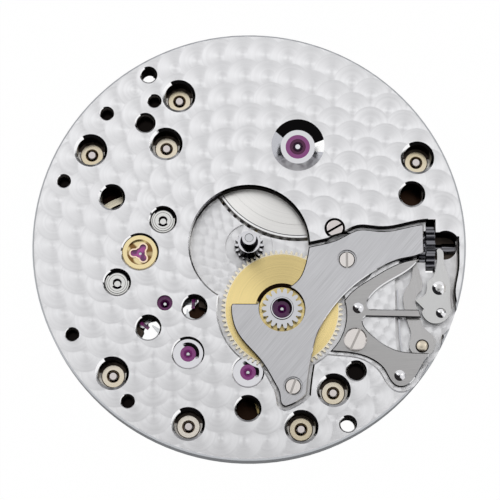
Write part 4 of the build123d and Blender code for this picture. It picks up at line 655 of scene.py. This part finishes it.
def brushed_metal(name, code, roughness, bearing, contrast=0.2, wall="#101012"):
    """Metal brushed straight along a bearing in degrees: its flat faces have fine streaks, drawn coarser
    than real so that they show, and its bevels are bright, with a painted dark reflection on one side. Its
    upright faces take the wall tone, painted dark as painted shade."""
    colour = linear(code)
    material = finish_of(
        name, colour, 1, roughness, Anisotropic=highlight_stretch, Specular_Tint=grey(brushed_tint),
    )
    tree = material.node_tree
    turn = math.radians(bearing)
    place = add(tree, "TexCoord").outputs["Object"]
    place = add(tree, "Mapping", place, inputs={"Rotation": (0, 0, -turn)})
    place = add(tree, "Mapping", place, inputs={"Scale": (1 / grain_length, 1 / grain_width, 1)})
    streaks = add(tree, "TexNoise", place, inputs={"Scale": 1.0, "Detail": 3.0}, noise_dimensions="2D")
    shade = add(tree, "Math", streaks, contrast, 1 - contrast / 2, operation="MULTIPLY_ADD")
    tint = add(tree, "VectorMath", colour[:3], inputs={"Scale": shade}, operation="SCALE")
    tilt = add(tree, "SeparateXYZ", add(tree, "NewGeometry").outputs["True Normal"]).outputs["Z"]
    tilt = add(tree, "Math", tilt, operation="ABSOLUTE")
    facing = add(tree, "Math", tilt, flat_face, operation="GREATER_THAN")
    upright = add(tree, "Math", tilt, upright_face, operation="LESS_THAN")
    # Painted dark reflection on one side of the bevels, and painted shade on the upright faces
    bevel = add(tree, "MixRGB", painted_dark_side(tree), linear("#E4E4E6"), linear("#222224"))
    tint = add(tree, "MixRGB", facing, bevel, tint)
    tint = add(tree, "MixRGB", upright, tint, linear(wall))
    soft = add(tree, "MapRange", facing, 0.0, 1.0, bevel_polish, roughness)
    across = add(tree, "CombineXYZ", -math.sin(turn), math.cos(turn))
    feed(material, Base_Color=tint, Roughness=soft, Tangent=across)
    return material


bridge_plate = brushed_metal("rhodium bridge, grained", "#D8D8DA", 0.3, 45, 0.14, "#7C7E82")
tree = bridge_plate.node_tree
# Faces that look up into the movement are painted dark brown, as painted shade
normal = add(tree, "SeparateXYZ", add(tree, "NewGeometry").outputs["True Normal"]).outputs["Z"]
painted_shade_hollow = add(tree, "Math", normal, upright_face, operation="GREATER_THAN")
tint = add(tree, "MixRGB", painted_shade_hollow, colour_so_far(bridge_plate), linear("#2E2018"))
feed(bridge_plate, Base_Color=tint)
dress(bridge_plate, "rhodium_plate", "barrel_bridge", "train_bridge", "balance_bridge", "pallet_bridge")

# The winding works. Stem, pinions, ratchet, crown wheel and click are hardened steel; the pinions are
# black polished, and the two big wheels on the back are snailed in rings, with polished screws.
crown_centre = (9.01, 0)
winding_steel = finish_of("winding steel, black polished", linear("#77777C"), 1, 0.12)
dress(winding_steel, "winding_steel", "winding_stem", "sliding_pinion", "winding_pinion", "click")
for name, centre in (("ratchet_wheel", barrel_centre), ("crown_wheel", crown_centre)):
    snailed = turned_metal(name.replace("_", " ") + ", snailed", "#C2C2C6", 0.28, centre, 0.3)
    dress(snailed, "winding_steel", name)
dress(screw_steel, "winding_steel", "ratchet_screw", "crown_wheel_screw")

# The motion work. The cannon pinion and the setting wheel are hardened steel, black polished, so that
# they mirror either the white room or the dark lens. The pinion's flanks are painted dark as a painted
# reflection, and the dip between its leaves and its pipe is painted darker still, as a painted reflection
# of the pipe.
leaf_top = 0.8  # the normal's z from which a face is the top of a leaf
leaf_root = 0.62 * MM
pipe_foot = 1.0 * MM
black_tint = 0.2
pinion_tone = linear("#D0D0D4")
black_polish = finish_of(
    "motion work steel, black polished", pinion_tone, 1, 0.05, Specular_Tint=grey(black_tint),
)
tree = black_polish.node_tree
normal = add(tree, "SeparateXYZ", add(tree, "NewGeometry").outputs["True Normal"]).outputs["Z"]
# The leaves' flanks are painted dark, as a painted reflection
painted_dark_flank = add(tree, "Math", normal, leaf_top, operation="LESS_THAN")
tint = add(tree, "MixRGB", painted_dark_flank, pinion_tone, linear("#303036"))
# The dip round the pipe's foot is painted darker, as a painted reflection of the pipe
away, distance = from_axis(tree, (0, 0))
inner = add(tree, "Math", distance, leaf_root, operation="LESS_THAN")
low = add(tree, "SeparateXYZ", add(tree, "TexCoord").outputs["Object"]).outputs["Z"]
low = add(tree, "Math", low, dial_height + pipe_foot, operation="LESS_THAN")
inner = add(tree, "Math", inner, low, operation="MULTIPLY")
feed(black_polish, Base_Color=add(tree, "MixRGB", inner, tint, linear("#1C1C20")))
dress(black_polish, "polished_steel", "cannon_pinion")
setting_steel = finish_of("setting wheel steel, polished", linear("#B9BABE"), 1, 0.15)
dress(setting_steel, "polished_steel", "setting_wheel", "yoke_spring")

# The minute-train bridge, the setting-lever jumper and their screws. Both are stamped from steel sheet,
# their tops brushed in one direction with fine paper, and their edges bevelled and polished. The screws'
# heads are polished, and their sawn slots are painted a darker grey, as painted shade.
sunk_slot = dial_height - 0.3 * MM
proud_slot = dial_height - 0.2 * MM
minute_bridge_steel = brushed_metal("bridge steel, brushed", "#BDBDC0", 0.32, 50, 0.45)
dress(minute_bridge_steel, "brushed_steel", "minute_train_bridge")
jumper_steel = brushed_metal("jumper steel, brushed", "#B4B3B3", 0.3, 4)
dress(jumper_steel, "brushed_steel", "setting_lever_jumper")
head_tone = linear("#DAD5D2")
for name, screws, slot_level in (
    ("sunk screw, polished", "minute_bridge_screws", sunk_slot),
    ("jumper screw, polished", "jumper_screw", proud_slot),
):
    slotted = finish_of(name, head_tone, 1, 0.16)
    tree = slotted.node_tree
    height = add(tree, "SeparateXYZ", add(tree, "TexCoord").outputs["Object"]).outputs["Z"]
    # The slot's floor is painted a darker grey, as painted shade
    sawn = add(tree, "Math", height, slot_level, operation="LESS_THAN")
    feed(slotted, Base_Color=add(tree, "MixRGB", sawn, head_tone, linear("#A8A4A1")))
    dress(slotted, "screw_steel", screws)

# A small slotted screw beside the bridge's upper edge. Its rim is under the bridge, and the rest is
# surrounded by a near-black ring laid on the plate, the notch's painted shadow; its polished head stands
# a hair above the plate.
edge_screw_place = Vector((5.93 * MM, 1.13 * MM, dial_height))
edge_slot_width = 0.16 * MM
edge_slot_bearing = math.radians(30)
edge_cut_bearing = math.radians(17)
edge_cut_drop = 0.42 * MM
edge_segments = 64
# Shares of its height that the rim is rounded by and that the slot is deep; the saw also cuts the faces of
# the rounding whose normal's z is above a value
edge_rounding, edge_slot_depth = 0.6, 0.8
sawn_face = 0.9
# A near-black ring laid on the plate, as the notch's painted shadow
painted_notch_shadow = finish_of("notch, shaded steel", linear("#0C0B0B"), 1, 0.4)
for name, radius, high, material in (
    ("edge_screw_notch_shadow", 0.72 * MM, 0.015 * MM, painted_notch_shadow),
    ("edge_screw_head", 0.56 * MM, 0.06 * MM, screw_steel),
):
    mesh = bmesh.new()
    bmesh.ops.create_circle(mesh, cap_ends=True, radius=radius, segments=edge_segments)
    top = bmesh.ops.extrude_face_region(mesh, geom=mesh.faces[:])["geom"]
    top = [v for v in top if isinstance(v, bmesh.types.BMVert)]
    bmesh.ops.translate(mesh, verts=top, vec=(0, 0, high))
    rim = [e for e in mesh.edges if all(v.co.z > high / 2 for v in e.verts)]
    bmesh.ops.bevel(
        mesh, geom=rim, offset=high * edge_rounding, segments=2, profile=0.5, affect="EDGES", material=-1,
    )
    if name == "edge_screw_head":
        across = Vector((-math.sin(edge_slot_bearing), math.cos(edge_slot_bearing), 0))
        for side in (-1, 1):
            bmesh.ops.bisect_plane(
                mesh, geom=mesh.verts[:] + mesh.edges[:] + mesh.faces[:],
                plane_co=across * side * edge_slot_width / 2, plane_no=across,
            )
        strip = [
            f for f in mesh.faces
            if f.normal.z > sawn_face and abs(f.calc_center_median().dot(across)) < edge_slot_width / 2
        ]
        sawn = bmesh.ops.extrude_face_region(mesh, geom=strip)["geom"]
        bmesh.ops.delete(mesh, geom=strip, context="FACES")
        sawn = [v for v in sawn if isinstance(v, bmesh.types.BMVert)]
        bmesh.ops.translate(mesh, verts=sawn, vec=(0, 0, -high * edge_slot_depth))
    # What lies under the bridge is cut off
    below = Vector((math.sin(edge_cut_bearing), -math.cos(edge_cut_bearing), 0))
    bmesh.ops.bisect_plane(
        mesh, geom=mesh.verts[:] + mesh.edges[:] + mesh.faces[:], plane_co=below * edge_cut_drop,
        plane_no=below, clear_outer=True,
    )
    bmesh.ops.holes_fill(mesh, edges=[e for e in mesh.edges if e.is_boundary])
    bmesh.ops.translate(mesh, verts=mesh.verts, vec=edge_screw_place)
    fix_to_plate(mesh, name, material)

# The setting lever, the yoke and the pins. The levers are steel lapped flat with polished domed rivets;
# two domed steel pins stand in the jumper, and the yoke turns on a pale brass post with a dark edge.
post_centre = (11.94, -6.975)
post_reach = 0.7 * MM
post_edge = 0.37 * MM
pin_roughness, post_roughness = 0.08, 0.35
lever_steel = brushed_metal("setting lever, lapped", "#C4C4C4", 0.24, 100, 0.12)
dress(lever_steel, "keyless_steel", "setting_lever")
yoke_steel = brushed_metal("yoke steel, lapped", "#B2B1B1", 0.24, 100, 0.14)
dress(yoke_steel, "keyless_steel", "yoke")
pin_steel = finish_of("pin steel, polished", linear("#C6C7CB"), 1, pin_roughness)
tree = pin_steel.node_tree
away, distance = from_axis(tree, post_centre)
near = add(tree, "Math", distance, post_reach, operation="LESS_THAN")
edge = add(tree, "Math", distance, post_edge, operation="GREATER_THAN")
post = add(tree, "MixRGB", edge, linear("#D0C6B4"), linear("#3A332C"))
# The pins' domes get a painted dark reflection on one side
tint = add(tree, "MixRGB", painted_dark_side(tree), linear("#DADADD"), linear("#2A2829"))
tint = add(tree, "MixRGB", near, tint, post)
soft = add(tree, "MapRange", near, 0.0, 1.0, pin_roughness, post_roughness)
feed(pin_steel, Base_Color=tint, Roughness=soft)
dress(pin_steel, "polished_steel", "keyless_pins")
